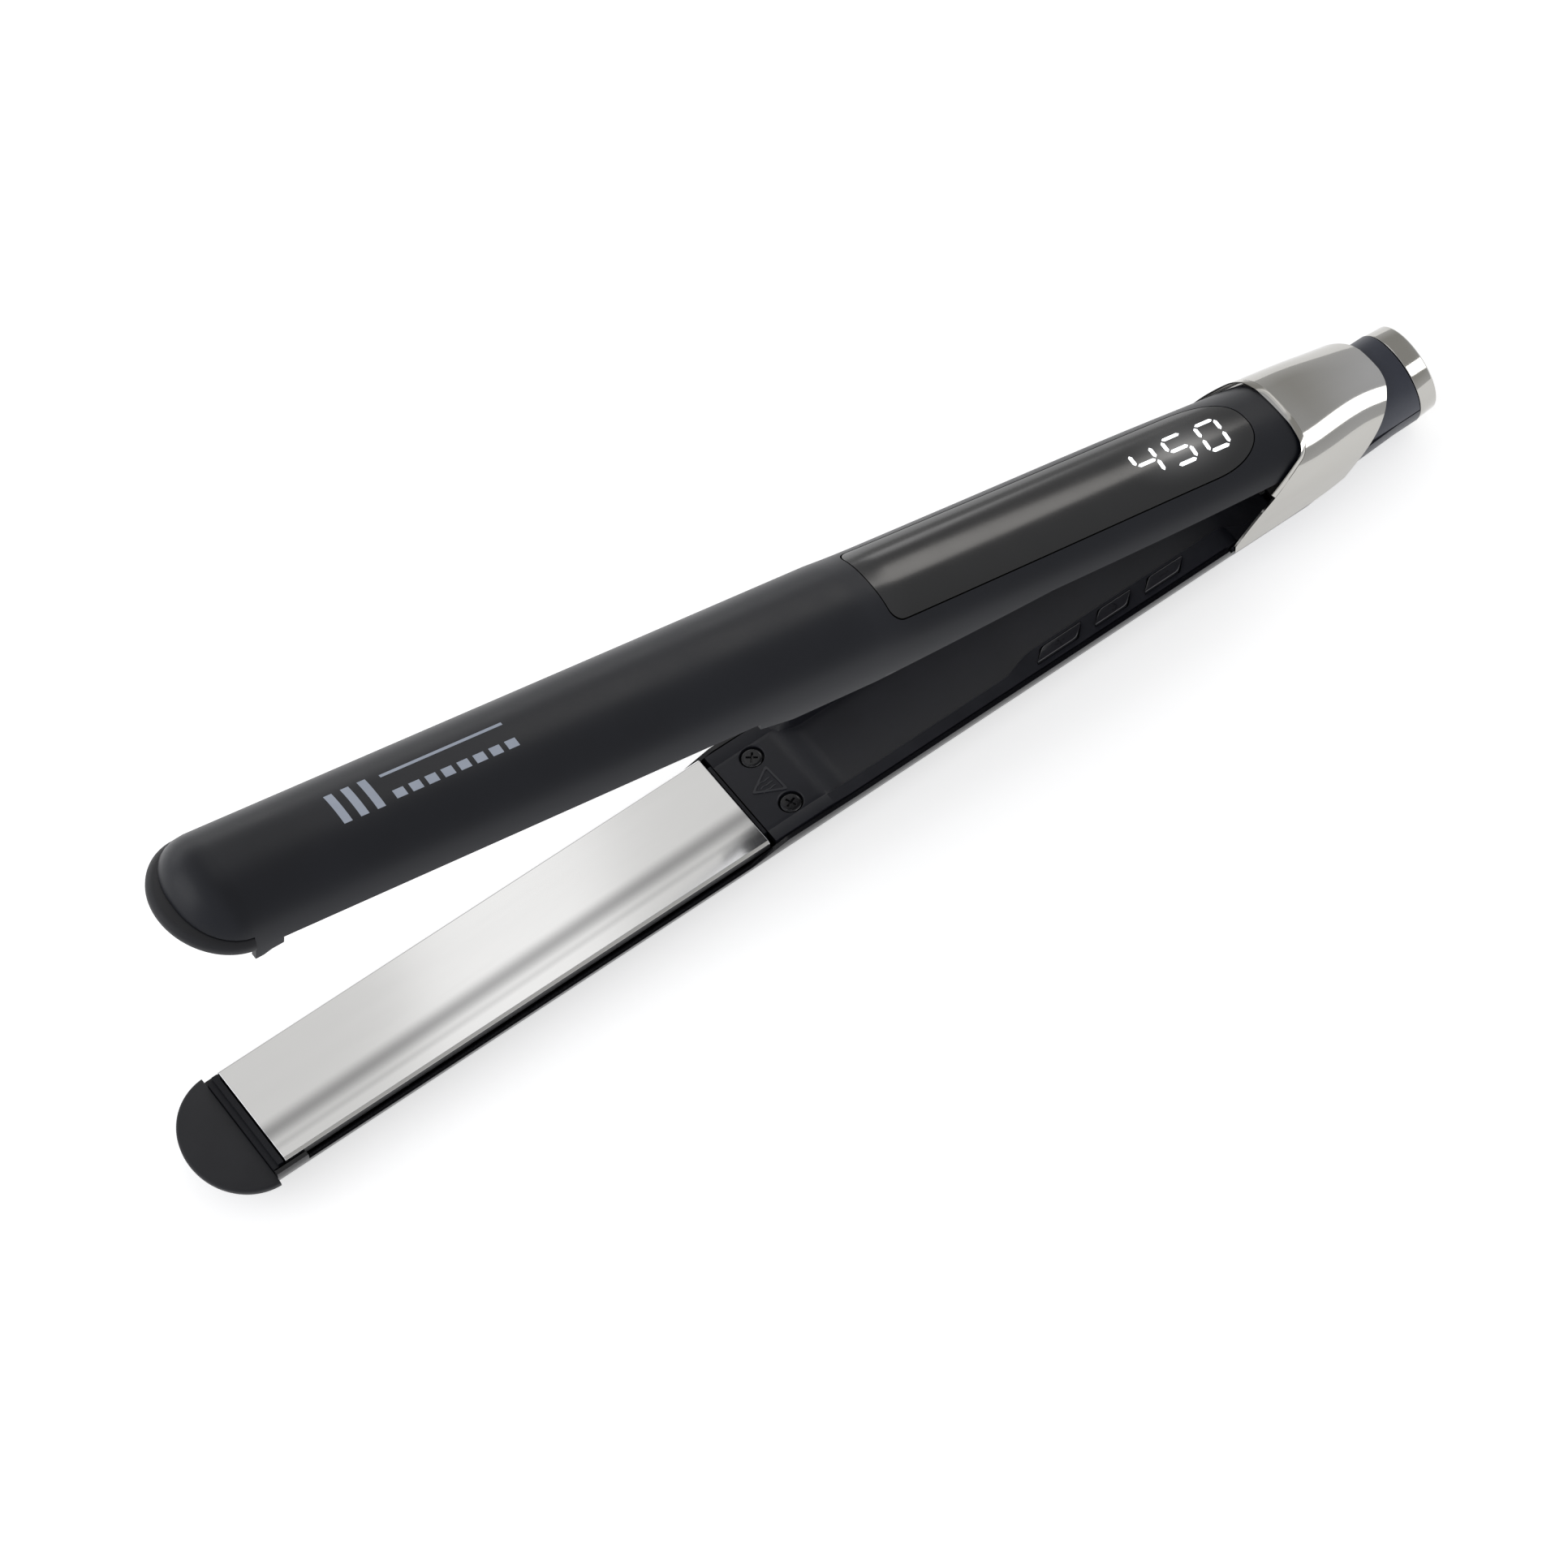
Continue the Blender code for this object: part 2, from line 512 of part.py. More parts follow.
def rear():
    """Polished hood, barrel cover, end ring, swivel gland and its retainer."""
    hood = finish("hinge_hood", hood_outside(), "row", "chrome", smooth=True)
    boolean(hood, finish("hood_inside", hood_inside(), "row", None, cutter=True))
    boolean(hood, finish("hood_side", prism(HOOD_SIDE, -18, 18, "y"), "row", None,
                         cutter=True), 'INTERSECT')

    rings = [arch(x, BARREL_R, BARREL_Z, BARREL_R, 2.0, -1.9) for x in (268.6, BARREL_END)]
    cover = finish("barrel_cover", loft(rings), "row", "barrel", smooth=True)
    rings = [arch(x, BARREL_R - 1.5, BARREL_Z, BARREL_R - 1.5, 2.0, -3)
             for x in (266, BARREL_END + 2)]
    boolean(cover, finish("barrel_inside", loft(rings), "row", None, cutter=True))

    ring = [(284.1, 10.22), (288.2, 10.0), (288.6, 9.6), (288.6, 5.4), (286.4, 5.4),
            (286.4, 7.0), (280.6, 7.0), (280.6, 8.3), (284.1, 8.3)]
    finish("end_ring", turned(ring, BARREL_Z), "row", "chrome", smooth=False)
    gland = [(277.2, 3.1), (277.2, 4.5), (281.0, 4.5), (281.0, 6.7), (286.1, 6.7), (286.1, 5.1),
             (288.2, 5.1), (288.4, 4.9), (288.4, 3.1)]
    finish("cord_gland", turned(gland, BARREL_Z), "row", "shell", (282, 0, BARREL_Z))
    keeper = [(278.4, 4.8), (278.4, 8.4), (280.2, 8.4), (280.2, 4.8)]
    finish("gland_retainer", turned(keeper, BARREL_Z), "row", "steel")


# ---------------------------------------------------------------- assembly
PARTS, CUTTERS = clear_scene()
lower_shell()
upper_shell()
display_window()
for prefix in ("lower", "upper"):
    tip_cap(prefix + "_tip_cap", prefix)
    plate_set(prefix, prefix)
lower_inner_cover()
upper_inner_cover()
for prefix, frame in (("cover_screw", "lower"), ("upper_screw", "upper")):
    for side in ("near", "far"):
        cover_screw(f"{prefix}_{side}", frame)
for button_name in BUTTONS:
    button(button_name)
electronics()
hinge()
rear()
bpy.context.view_layer.update()
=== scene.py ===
"""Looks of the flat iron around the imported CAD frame."""

import json
import math

import bmesh
import bpy
from mathutils import Matrix, Vector

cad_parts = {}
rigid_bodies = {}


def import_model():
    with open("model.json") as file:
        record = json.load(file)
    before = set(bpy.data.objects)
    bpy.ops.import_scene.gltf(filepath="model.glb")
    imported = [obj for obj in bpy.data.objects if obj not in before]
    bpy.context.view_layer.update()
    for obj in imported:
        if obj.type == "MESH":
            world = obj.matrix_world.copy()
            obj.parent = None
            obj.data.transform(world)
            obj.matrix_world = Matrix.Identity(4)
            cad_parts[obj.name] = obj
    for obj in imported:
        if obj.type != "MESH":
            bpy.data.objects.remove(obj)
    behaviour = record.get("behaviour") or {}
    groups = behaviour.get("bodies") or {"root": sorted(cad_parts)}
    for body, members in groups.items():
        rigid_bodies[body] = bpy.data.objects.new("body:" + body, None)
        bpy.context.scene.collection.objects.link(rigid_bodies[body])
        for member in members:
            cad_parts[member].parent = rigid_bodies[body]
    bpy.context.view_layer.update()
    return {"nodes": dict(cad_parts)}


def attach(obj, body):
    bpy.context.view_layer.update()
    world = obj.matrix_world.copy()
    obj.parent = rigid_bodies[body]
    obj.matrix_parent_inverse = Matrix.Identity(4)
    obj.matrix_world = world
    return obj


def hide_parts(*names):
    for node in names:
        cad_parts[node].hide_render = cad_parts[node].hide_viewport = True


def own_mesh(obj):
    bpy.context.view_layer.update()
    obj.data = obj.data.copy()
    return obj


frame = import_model()

# Millimetres: x along the iron from the front of the plate, y toward the far side.
# w is the depth below an arm's plate face, and "row" pieces give z above the lower plate's face.
X_MID, Z_FLOOR = 136.55, 12.15
GAP = 0.3
PIVOT_X, PIVOT_Z, OPEN = 261.5, 0.15, math.radians(15.67)
PLATE_L, PLATE_HALF, PLATE_EDGE = 116.3, 12.7, 0.55
SCREW_X, SCREW_Y = 125.4, 6.85
HOOD_BASE = -2.3


# ------------------------------------------------------------------ placing
def place(p, where):
    """Row-frame metres of a point given in millimetres in the lower, upper or row layout."""
    x, y, w = p
    if where == "lower":
        z = -w
    elif where == "upper":
        dx, dz = x - PIVOT_X, GAP + w - PIVOT_Z
        x = PIVOT_X + dx * math.cos(OPEN) + dz * math.sin(OPEN)
        z = PIVOT_Z - dx * math.sin(OPEN) + dz * math.cos(OPEN)
    else:
        z = w
    return Vector(((x - X_MID) / 1000, y / 1000, (z + Z_FLOOR) / 1000))


def smooth_table(x, table):
    """Monotone cubic through a table of (x, value)."""
    if x <= table[0][0]:
        return table[0][1]
    if x >= table[-1][0]:
        return table[-1][1]
    k = max(i for i in range(len(table) - 1) if table[i][0] <= x)
    (x0, y0), (x1, y1) = table[k], table[k + 1]
    h = x1 - x0
    d = (y1 - y0) / h

    def slope(i):
        if i == 0 or i == len(table) - 1:
            return d
        a = (table[i][1] - table[i - 1][1]) / (table[i][0] - table[i - 1][0])
        b = (table[i + 1][1] - table[i][1]) / (table[i + 1][0] - table[i][0])
        return 0.0 if a * b <= 0 else 2 * a * b / (a + b)
    m0, m1, t = slope(k), slope(k + 1), (x - x0) / h
    return (y0 * (2 * t ** 3 - 3 * t ** 2 + 1) + m0 * h * (t ** 3 - 2 * t ** 2 + t)
            + y1 * (3 * t ** 2 - 2 * t ** 3) + m1 * h * (t ** 3 - t ** 2))


# ------------------------------------------------------------------ solids in millimetres
def loft(rings):
    """Closed solid through rings that have the same number of points."""
    bm = bmesh.new()
    rows = [[bm.verts.new(p) for p in ring] for ring in rings]
    n = len(rows[0])
    for a, b in zip(rows, rows[1:]):
        for i in range(n):
            j = (i + 1) % n
            bm.faces.new((a[i], a[j], b[j], b[i]))
    bm.faces.new(rows[0][::-1])
    bm.faces.new(rows[-1])
    return bm


def prism(outline, low, high, axis):
    """Outline pushed along an axis."""
    spot = {"x": lambda p, v: (v, p[0], p[1]), "y": lambda p, v: (p[0], v, p[1]),
            "w": lambda p, v: (p[0], p[1], v)}[axis]
    return loft([[spot(p, low) for p in outline], [spot(p, high) for p in outline]])


def box(x0, x1, y0, y1, w0, w1):
    return prism([(x0, y0), (x1, y0), (x1, y1), (x0, y1)], w0, w1, "w")


def circle(cx, cy, r, n=64, a0=0.0, a1=360.0):
    full = abs(a1 - a0 - 360) < 1e-6
    m = n if full else n + 1
    return [(cx + r * math.cos(math.radians(a0 + (a1 - a0) * i / n)),
             cy + r * math.sin(math.radians(a0 + (a1 - a0) * i / n))) for i in range(m)]


def turned(profile, centre, axis="x", n=112):
    """Revolve a closed (along, radius) outline about a line along x or w."""
    bm = bmesh.new()
    rows = []
    for k in range(n):
        a = 2 * math.pi * k / n
        c, s = math.cos(a), math.sin(a)
        if axis == "x":
            rows.append([bm.verts.new((u, centre[0] + r * c, centre[1] + r * s))
                         for u, r in profile])
        else:
            rows.append([bm.verts.new((centre[0] + r * c, centre[1] + r * s, u))
                         for u, r in profile])
    m = len(profile)
    for k in range(n):
        a, b = rows[k], rows[(k + 1) % n]
        for i in range(m):
            j = (i + 1) % m
            if profile[i][1] < 1e-6 and profile[j][1] < 1e-6:
                continue
            bm.faces.new((a[i], a[j], b[j], b[i]))
    bmesh.ops.remove_doubles(bm, verts=bm.verts, dist=1e-5)
    return bm


def rounded(points, radius, steps=4):
    """Round the corners of a closed outline; radius is one number or one per corner."""
    out, n = [], len(points)
    for i, p in enumerate(points):
        r = radius[i] if isinstance(radius, (list, tuple)) else radius
        if r <= 0:
            out.append(p)
            continue
        a, b, c = (Vector(points[i - 1]), Vector(p), Vector(points[(i + 1) % n]))
        u, v = (a - b), (c - b)
        r = min(r, u.length * 0.45, v.length * 0.45)
        u, v = u.normalized() * r, v.normalized() * r
        for k in range(steps + 1):
            t = k / steps
            q = (b + u) * (1 - t) ** 2 + b * 2 * t * (1 - t) + (b + v) * t ** 2
            out.append((q.x, q.y))
    return out


def to_object(name, bm, where):
    """Place a solid and make it an object; the lower layout is mirrored, so its faces turn."""
    bmesh.ops.recalc_face_normals(bm, faces=bm.faces)
    if where == "lower":
        bmesh.ops.reverse_faces(bm, faces=bm.faces)
    for v in bm.verts:
        v.co = place(v.co, where)
    mesh = bpy.data.meshes.new(name)
    bm.to_mesh(mesh)
    bm.free()
    ob = bpy.data.objects.new(name, mesh)
    bpy.context.scene.collection.objects.link(ob)
    return ob


def cut(ob, cutters, operation='DIFFERENCE'):
    """Boolean with other objects, applied at once."""
    for c in cutters:
        mod = ob.modifiers.new("cut", 'BOOLEAN')
        mod.operation = operation
        mod.solver = 'EXACT'
        mod.object = c
    apply(ob)
    for c in cutters:
        bpy.data.objects.remove(c)
    return ob


def apply(ob):
    """Make the modifiers' result the mesh."""
    dg = bpy.context.evaluated_depsgraph_get()
    dg.update()
    mesh = bpy.data.meshes.new_from_object(ob.evaluated_get(dg))
    ob.modifiers.clear()
    old, ob.data = ob.data, mesh
    bpy.data.meshes.remove(old)


def shade(ob, angle=32, bevel=0.0, segments=2):
    """Smooth shading that keeps edges sharper than angle, with a fine bevel on them."""
    bm = bmesh.new()
    bm.from_mesh(ob.data)
    bmesh.ops.remove_doubles(bm, verts=bm.verts, dist=2e-6)
    bmesh.ops.dissolve_degenerate(bm, edges=bm.edges, dist=2e-6)
    limit = math.radians(angle)
    for e in bm.edges:
        e.smooth = not (len(e.link_faces) != 2 or e.calc_face_angle(0) > limit)
    for f in bm.faces:
        f.smooth = True
    bm.to_mesh(ob.data)
    bm.free()
    if bevel:
        mod = ob.modifiers.new("edge", 'BEVEL')
        mod.width = bevel / 1000
        mod.segments = segments
        mod.limit_method = 'ANGLE'
        mod.angle_limit = limit
        mod.use_clamp_overlap = True
        mod.harden_normals = True
        mod.miter_outer = 'MITER_ARC'
    return ob


# ------------------------------------------------------------------ materials
def tree(name):
    mat = bpy.data.materials.new(name)
    mat.use_nodes = True
    nodes, links = mat.node_tree.nodes, mat.node_tree.links
    return mat, nodes, links, nodes["Principled BSDF"]


def node(nodes, kind, **inputs):
    made = nodes.new(kind)
    for key, value in inputs.items():
        if key.startswith("i_"):
            made.inputs[int(key[2:])].default_value = value
        elif key.startswith("n_"):
            made.inputs[key[2:].replace("_", " ")].default_value = value
        else:
            setattr(made, key, value)
    return made


def noise(nodes, links, scale, detail=4.0, rough=0.55, stretch=(1, 1, 1)):
    coord = nodes.new("ShaderNodeTexCoord")
    mapping = nodes.new("ShaderNodeMapping")
    mapping.inputs["Scale"].default_value = stretch
    links.new(coord.outputs["Object"], mapping.inputs["Vector"])
    tex = nodes.new("ShaderNodeTexNoise")
    tex.inputs["Scale"].default_value = scale
    tex.inputs["Detail"].default_value = detail
    tex.inputs["Roughness"].default_value = rough
    links.new(mapping.outputs["Vector"], tex.inputs["Vector"])
    return tex


def ranged(nodes, links, source, low, high, a=0.3, b=0.7):
    made = nodes.new("ShaderNodeMapRange")
    made.inputs["From Min"].default_value = a
    made.inputs["From Max"].default_value = b
    made.inputs["To Min"].default_value = low
    made.inputs["To Max"].default_value = high
    links.new(source, made.inputs["Value"])
    return made.outputs["Result"]


def tint(nodes, links, factor, dark, light):
    made = node(nodes, "ShaderNodeMix", data_type='RGBA')
    links.new(factor, made.inputs[0])
    made.inputs[6].default_value = (*dark, 1)
    made.inputs[7].default_value = (*light, 1)
    return made.outputs[2]


GRAIN_DEPTH = 0.00002


def surface(name, dark, light, rough, metal=0.0, grain=2600.0, patch=120.0, bump=0.05,
            stretch=(1, 1, 1), coat=0.0, coat_rough=0.1, specular=0.5, aniso=0.0, emit=0.0,
            zone=None):
    """Base material: two-scale colour variation, roughness variation, fine grain.
    A zone (x, dark, light, rough) gives the piece another finish beyond x."""
    mat, nodes, links, shader = tree(name)
    big = noise(nodes, links, patch, 5.0, 0.6, stretch)
    fine = noise(nodes, links, grain, 3.0, 0.5, stretch)
    colour = tint(nodes, links, ranged(nodes, links, big.outputs["Fac"], 0, 1), dark, light)
    low_rough, high_rough = rough * 0.9, rough * 1.08
    steady = ranged(nodes, links, big.outputs["Fac"], low_rough, high_rough)
    if zone:
        at_x, dark2, light2, rough2 = zone
        coord = nodes.new("ShaderNodeTexCoord")
        split = nodes.new("ShaderNodeSeparateXYZ")
        links.new(coord.outputs["Object"], split.inputs[0])
        there = ranged(nodes, links, split.outputs["X"], 0, 1, at_x - 0.0004, at_x + 0.0004)
        other = tint(nodes, links, ranged(nodes, links, fine.outputs["Fac"], 0, 1), dark2, light2)
        mix = node(nodes, "ShaderNodeMix", data_type='RGBA')
        links.new(there, mix.inputs[0])
        links.new(colour, mix.inputs[6])
        links.new(other, mix.inputs[7])
        colour = mix.outputs[2]
        both = node(nodes, "ShaderNodeMix", data_type='FLOAT')
        links.new(there, both.inputs[0])
        links.new(steady, both.inputs[2])
        both.inputs[3].default_value = rough2
        steady = both.outputs[0]
    links.new(colour, shader.inputs["Base Color"])
    mid = node(nodes, "ShaderNodeMath", operation='ADD')
    links.new(steady, mid.inputs[0])
    links.new(ranged(nodes, links, fine.outputs["Fac"], -rough * 0.05, rough * 0.05),
              mid.inputs[1])
    links.new(mid.outputs[0], shader.inputs["Roughness"])
    shader.inputs["Metallic"].default_value = metal
    shader.inputs["Specular IOR Level"].default_value = specular
    shader.inputs["Coat Weight"].default_value = coat
    shader.inputs["Coat Roughness"].default_value = coat_rough
    shader.inputs["Anisotropic"].default_value = aniso
    shader.inputs["Emission Color"].default_value = (1, 1, 1, 1)
    shader.inputs["Emission Strength"].default_value = emit
    if bump:
        made = nodes.new("ShaderNodeBump")
        made.inputs["Strength"].default_value = bump
        made.inputs["Distance"].default_value = GRAIN_DEPTH
        links.new(fine.outputs["Fac"], made.inputs["Height"])
        links.new(made.outputs["Normal"], shader.inputs["Normal"])
    return mat


M = {
    "shell": surface("shell_soft_touch", (0.0045, 0.0056, 0.0098), (0.0066, 0.0078, 0.0130), 0.38,
                     bump=0.25, patch=60, specular=0.38),
    "lower": surface("shell_gloss", (0.005, 0.005, 0.007), (0.007, 0.007, 0.009), 0.22,
                     bump=0.12, patch=60, specular=0.4,
                     zone=(0.0957, (0.050, 0.053, 0.066), (0.062, 0.065, 0.078), 0.4)),
    "lip": surface("tip_lip", (0.012, 0.0122, 0.0155), (0.016, 0.0165, 0.020), 0.5, bump=0.3,
                   specular=0.4),
    "tray": surface("inner_tray", (0.005, 0.0055, 0.009), (0.008, 0.0085, 0.013), 0.5, bump=0.35,
                    grain=3400, specular=0.35),
    "platform": surface("inner_platform", (0.014, 0.0145, 0.019), (0.019, 0.020, 0.025), 0.45,
                        bump=0.35, grain=3400),
    "plate": surface("plate_satin", (0.80, 0.80, 0.805), (0.85, 0.85, 0.855), 0.12, 1.0,
                     grain=900, patch=40, bump=0.05, stretch=(0.12, 1, 1), aniso=0.2),
    "plate_side": surface("plate_side_dark", (0.010, 0.010, 0.012), (0.016, 0.016, 0.018), 0.35,
                          bump=0.1),
    "hood": surface("hood_chrome", (0.48, 0.47, 0.445), (0.53, 0.52, 0.495), 0.09, 1.0,
                    grain=700, patch=50, bump=0.03, stretch=(0.07, 1, 1)),
    "barrel": surface("barrel_matte", (0.035, 0.040, 0.058), (0.048, 0.053, 0.074), 0.42,
                      bump=0.3, grain=3000),
    "window": surface("window_smoked", (0.004, 0.0039, 0.0038), (0.006, 0.0058, 0.0056), 0.17,
                      bump=0.04, coat=0.3, coat_rough=0.14, specular=0.5),
    "button": surface("button_gloss", (0.016, 0.016, 0.019), (0.022, 0.022, 0.026), 0.2,
                      bump=0.05),
    "screw": surface("screw_black", (0.022, 0.022, 0.024), (0.035, 0.035, 0.037), 0.26, 0.7,
                     bump=0.1),
    "mark": surface("print_pale", (0.45, 0.50, 0.60), (0.52, 0.57, 0.67), 0.45, bump=0.1),
    "steel": surface("plain_steel", (0.38, 0.38, 0.39), (0.48, 0.48, 0.49), 0.32, 1.0,
                     stretch=(0.3, 1, 1), bump=0.1),
    "ceramic": surface("heater_ceramic", (0.80, 0.78, 0.73), (0.88, 0.86, 0.81), 0.6, bump=0.3),
    "rubber": surface("cushion_silicone", (0.30, 0.08, 0.06), (0.38, 0.11, 0.09), 0.65, bump=0.3),
    "board": surface("circuit_board", (0.012, 0.12, 0.05), (0.02, 0.18, 0.08), 0.4, bump=0.2),
    "wire": surface("lead_sleeve", (0.72, 0.72, 0.70), (0.84, 0.84, 0.82), 0.6, bump=0.4,
                    grain=5000),
}


def glow(name):
    """Lit display segment."""
    mat, nodes, links, shader = tree(name)
    tex = noise(nodes, links, 900.0)
    links.new(ranged(nodes, links, tex.outputs["Fac"], 1.55, 1.95),
              shader.inputs["Emission Strength"])
    shader.inputs["Emission Color"].default_value = (0.95, 0.97, 1.0, 1)
    links.new(tint(nodes, links, tex.outputs["Fac"], (0.8, 0.82, 0.85), (0.9, 0.92, 0.95)),
              shader.inputs["Base Color"])
    shader.inputs["Roughness"].default_value = 0.5
    return mat


M["glow"] = glow("digit_light")


def painted_glow(mat, centre, reach, strength):
    """Faint painted glow round a point of the panel, fading to nothing at its reach."""
    nodes, links = mat.node_tree.nodes, mat.node_tree.links
    coord = nodes.new("ShaderNodeTexCoord")
    mapping = nodes.new("ShaderNodeMapping")
    mapping.vector_type = 'TEXTURE'
    mapping.inputs["Location"].default_value = centre
    mapping.inputs["Rotation"].default_value = (0, OPEN, 0)
    mapping.inputs["Scale"].default_value = reach
    ball = node(nodes, "ShaderNodeTexGradient", gradient_type='QUADRATIC_SPHERE')
    times = node(nodes, "ShaderNodeMath", operation='MULTIPLY', i_1=strength)
    links.new(coord.outputs["Object"], mapping.inputs["Vector"])
    links.new(mapping.outputs["Vector"], ball.inputs["Vector"])
    links.new(ball.outputs["Fac"], times.inputs[0])
    links.new(times.outputs[0], nodes["Principled BSDF"].inputs["Emission Strength"])


REFLECTION_BAND_DRIFT = 0.0112


def painted_reflection_band(mat, offset, width, strength):
    """Painted dark reflection: a soft dark line along the plate, drifting slowly inward toward the rear.
    """
    nodes, links = mat.node_tree.nodes, mat.node_tree.links
    socket = nodes["Principled BSDF"].inputs["Base Color"]
    before = socket.links[0].from_socket
    coord = nodes.new("ShaderNodeTexCoord")
    split = nodes.new("ShaderNodeSeparateXYZ")
    links.new(coord.outputs["Object"], split.inputs[0])
    drift = node(nodes, "ShaderNodeMath", operation='MULTIPLY_ADD', i_1=-REFLECTION_BAND_DRIFT, i_2=offset)
    links.new(split.outputs["X"], drift.inputs[0])
    across = node(nodes, "ShaderNodeMath", operation='ADD')
    links.new(split.outputs["Y"], across.inputs[0])
    links.new(drift.outputs[0], across.inputs[1])
    away = node(nodes, "ShaderNodeMath", operation='ABSOLUTE')
    links.new(across.outputs[0], away.inputs[0])
    band = node(nodes, "ShaderNodeMapRange", interpolation_type='SMOOTHSTEP')
    band.inputs["From Max"].default_value = width
    band.inputs["To Min"].default_value = strength
    band.inputs["To Max"].default_value = 0.0
    links.new(away.outputs[0], band.inputs["Value"])
    made = node(nodes, "ShaderNodeMix", data_type='RGBA')
    links.new(band.outputs["Result"], made.inputs[0])
    links.new(before, made.inputs[6])
    # Colour of the painted dark reflection.
    made.inputs[7].default_value = (0.16, 0.16, 0.165, 1)
    links.new(made.outputs[2], socket)


# Two painted dark reflections on the plate, a broad one and a faint narrow one.
painted_reflection_band(M["plate"], 0.00417, 0.0034, 0.62)
painted_reflection_band(M["plate"], 0.00777, 0.0013, 0.22)
# Painted glow on the display panel round the digits.
painted_glow(M["window"], place((225.6, -0.6, 11.6), "upper"), (0.017, 0.0085, 0.02), 0.16)


def piece(ob, look, body, slot, *nodes):
    """Give a piece its look, the body it rides on and the nodes it replaces; the slot argument is not
    used.
    """
    ob.data.materials.clear()
    ob.data.materials.append(M[look])
    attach(ob, body)
    if nodes:
        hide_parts(*nodes)
    return ob


# ------------------------------------------------------------------ the arms
LOWER = dict(b=14.0, w0=0.8, h=11.57, n=2.0, flat=12.15, b_in=13.02, h_in=9.9)
UPPER = dict(b=14.6, w0=0.0, h=13.2, n=2.3, flat=None, b_in=13.3, h_in=10.9)
UPPER_H = [(140, 13.2), (147, 12.5), (152, 12.25), (200, 11.8), (230, 11.75), (258, 11.4)]
UPPER_B = [(200, 14.6), (215, 14.5), (230, 14.2), (244, 13.85), (258, 13.7)]
LOWER_B = [(252, 14.0), (256, 13.5), (260, 12.5), (264, 11.5), (268, 11.0), (272, 10.7),
           (278, 10.35)]
BARREL_R, BARREL_Z, BARREL_END = 10.35, -1.9, 283.8
TIP_X, NOSE_RX, TIP_RX, TIP_RY = -2.5, 10.4, 12.7, 14.85


def arm_size(arm, x):
    """Half width, depth of the widest place and height of an arm's outside at x."""
    if arm is UPPER:
        b, h, w0 = smooth_table(x, UPPER_B), smooth_table(x, UPPER_H), arm["w0"]
    else:
        rear = min(1.0, max(0.0, (x - 252) / 20))
        b = smooth_table(x, LOWER_B)
        w0 = arm["w0"] + (-BARREL_Z - arm["w0"]) * rear
        h = arm["h"] + (BARREL_R - arm["h"]) * rear
    if x < TIP_X:
        f = math.sqrt(max(0.0, 1 - ((TIP_X - x) / NOSE_RX) ** 2))
        b, h = b * f ** 0.9, h * f ** 0.9
    return b, w0, h


def arch(x, b, w0, h, n, base, flat=None, steps=88):
    """Superellipse arch over a straight base, cut flat at a depth if one is given."""
    ring = [(x, b, base)]
    for i in range(steps + 1):
        t = math.pi * i / steps
        c, s = math.cos(t), max(0.0, math.sin(t))
        y = b * math.copysign(abs(c) ** (2 / n), c)
        w = w0 + h * s ** (2 / n)
        ring.append((x, y, min(w, flat) if flat else w))
    ring.append((x, -b, base))
    return ring


NOSE = [TIP_X - NOSE_RX * math.sin(math.radians(a)) for a in
        (84, 80, 76, 71, 66, 60, 53, 46, 38, 30, 21, 11, 0)]
LOWER_X = NOSE + [60, 120, 180, 240, 248] + [252 + 2 * k for k in range(14)] + [BARREL_END]
UPPER_X = NOSE + [40, 80, 120, 136, 140, 142, 144, 146, 148, 150, 152, 160, 176, 190, 200, 208,
                  215, 222, 230, 237, 244, 248, 252, 258, 262]


def arm_solid(arm, shrink_b, shrink_h, stations, base):
    rings = []
    for x in stations:
        b, w0, h = arm_size(arm, x)
        flat = arm["flat"] if not shrink_h else None
        rings.append(arch(x, max(0.3, b - shrink_b), w0, max(0.3, h - shrink_h), arm["n"], base,
                          flat))
    return loft(rings)


def upper_top(x, y, lift=0.0):
    """Depth of the upper arm's outside above the plate face at (x, y)."""
    b, w0, h = arm_size(UPPER, x)
    u = min(0.999, abs(y) / b)
    return w0 + h * (1 - u ** UPPER["n"]) ** (1 / UPPER["n"]) + lift


LOWER_RIM = [(-20, 5.5), (-2.9, 5.5), (-2.9, 1.0), (4.4, 1.0), (4.4, 3.0), (111, 3.0),
             (120, 1.1), (137, 1.5), (231.2, 1.5), (231.5, 2.6), (255.6, 2.6), (260.3, 0.9),
             (264.2, -0.8), (268.3, -3.0), (268.3, 2.2), (290, 2.2)]
UPPER_RIM = [(-20, 5.5), (-2.9, 5.5), (-2.9, 0.2), (-1.2, 0.4), (0.6, 1.1), (3.2, 1.5),
             (5.9, 1.7), (110.4, 1.7), (120, 0.2), (140, 0.4), (184, 3.7), (215, 4.2),
             (245.2, 4.6), (260.1, 16.0), (275, 16.0)]


def window_outline(grow, steps=28):
    """Square front with small corners, and a superellipse at the rear."""
    corner, hw, hw_rear = 2.6, 10.1 + grow, 9.5 + grow
    x0, rear_x, rear_rx = 146.3 - grow, 227.6, 15.2 + grow
    near = []
    for i in range(13):
        a = math.pi / 2 * i / 12
        near.append((x0 + corner - corner * math.cos(a), hw - corner + corner * math.sin(a)))
    for i in range(steps + 1):
        a = math.pi / 2 * i / steps
        near.append((rear_x + rear_rx * math.sin(a) ** (2 / 2.4),
                     hw_rear * max(0.0, math.cos(a)) ** (2 / 2.4)))
    return near + [(x, -y) for x, y in reversed(near[:-1])]


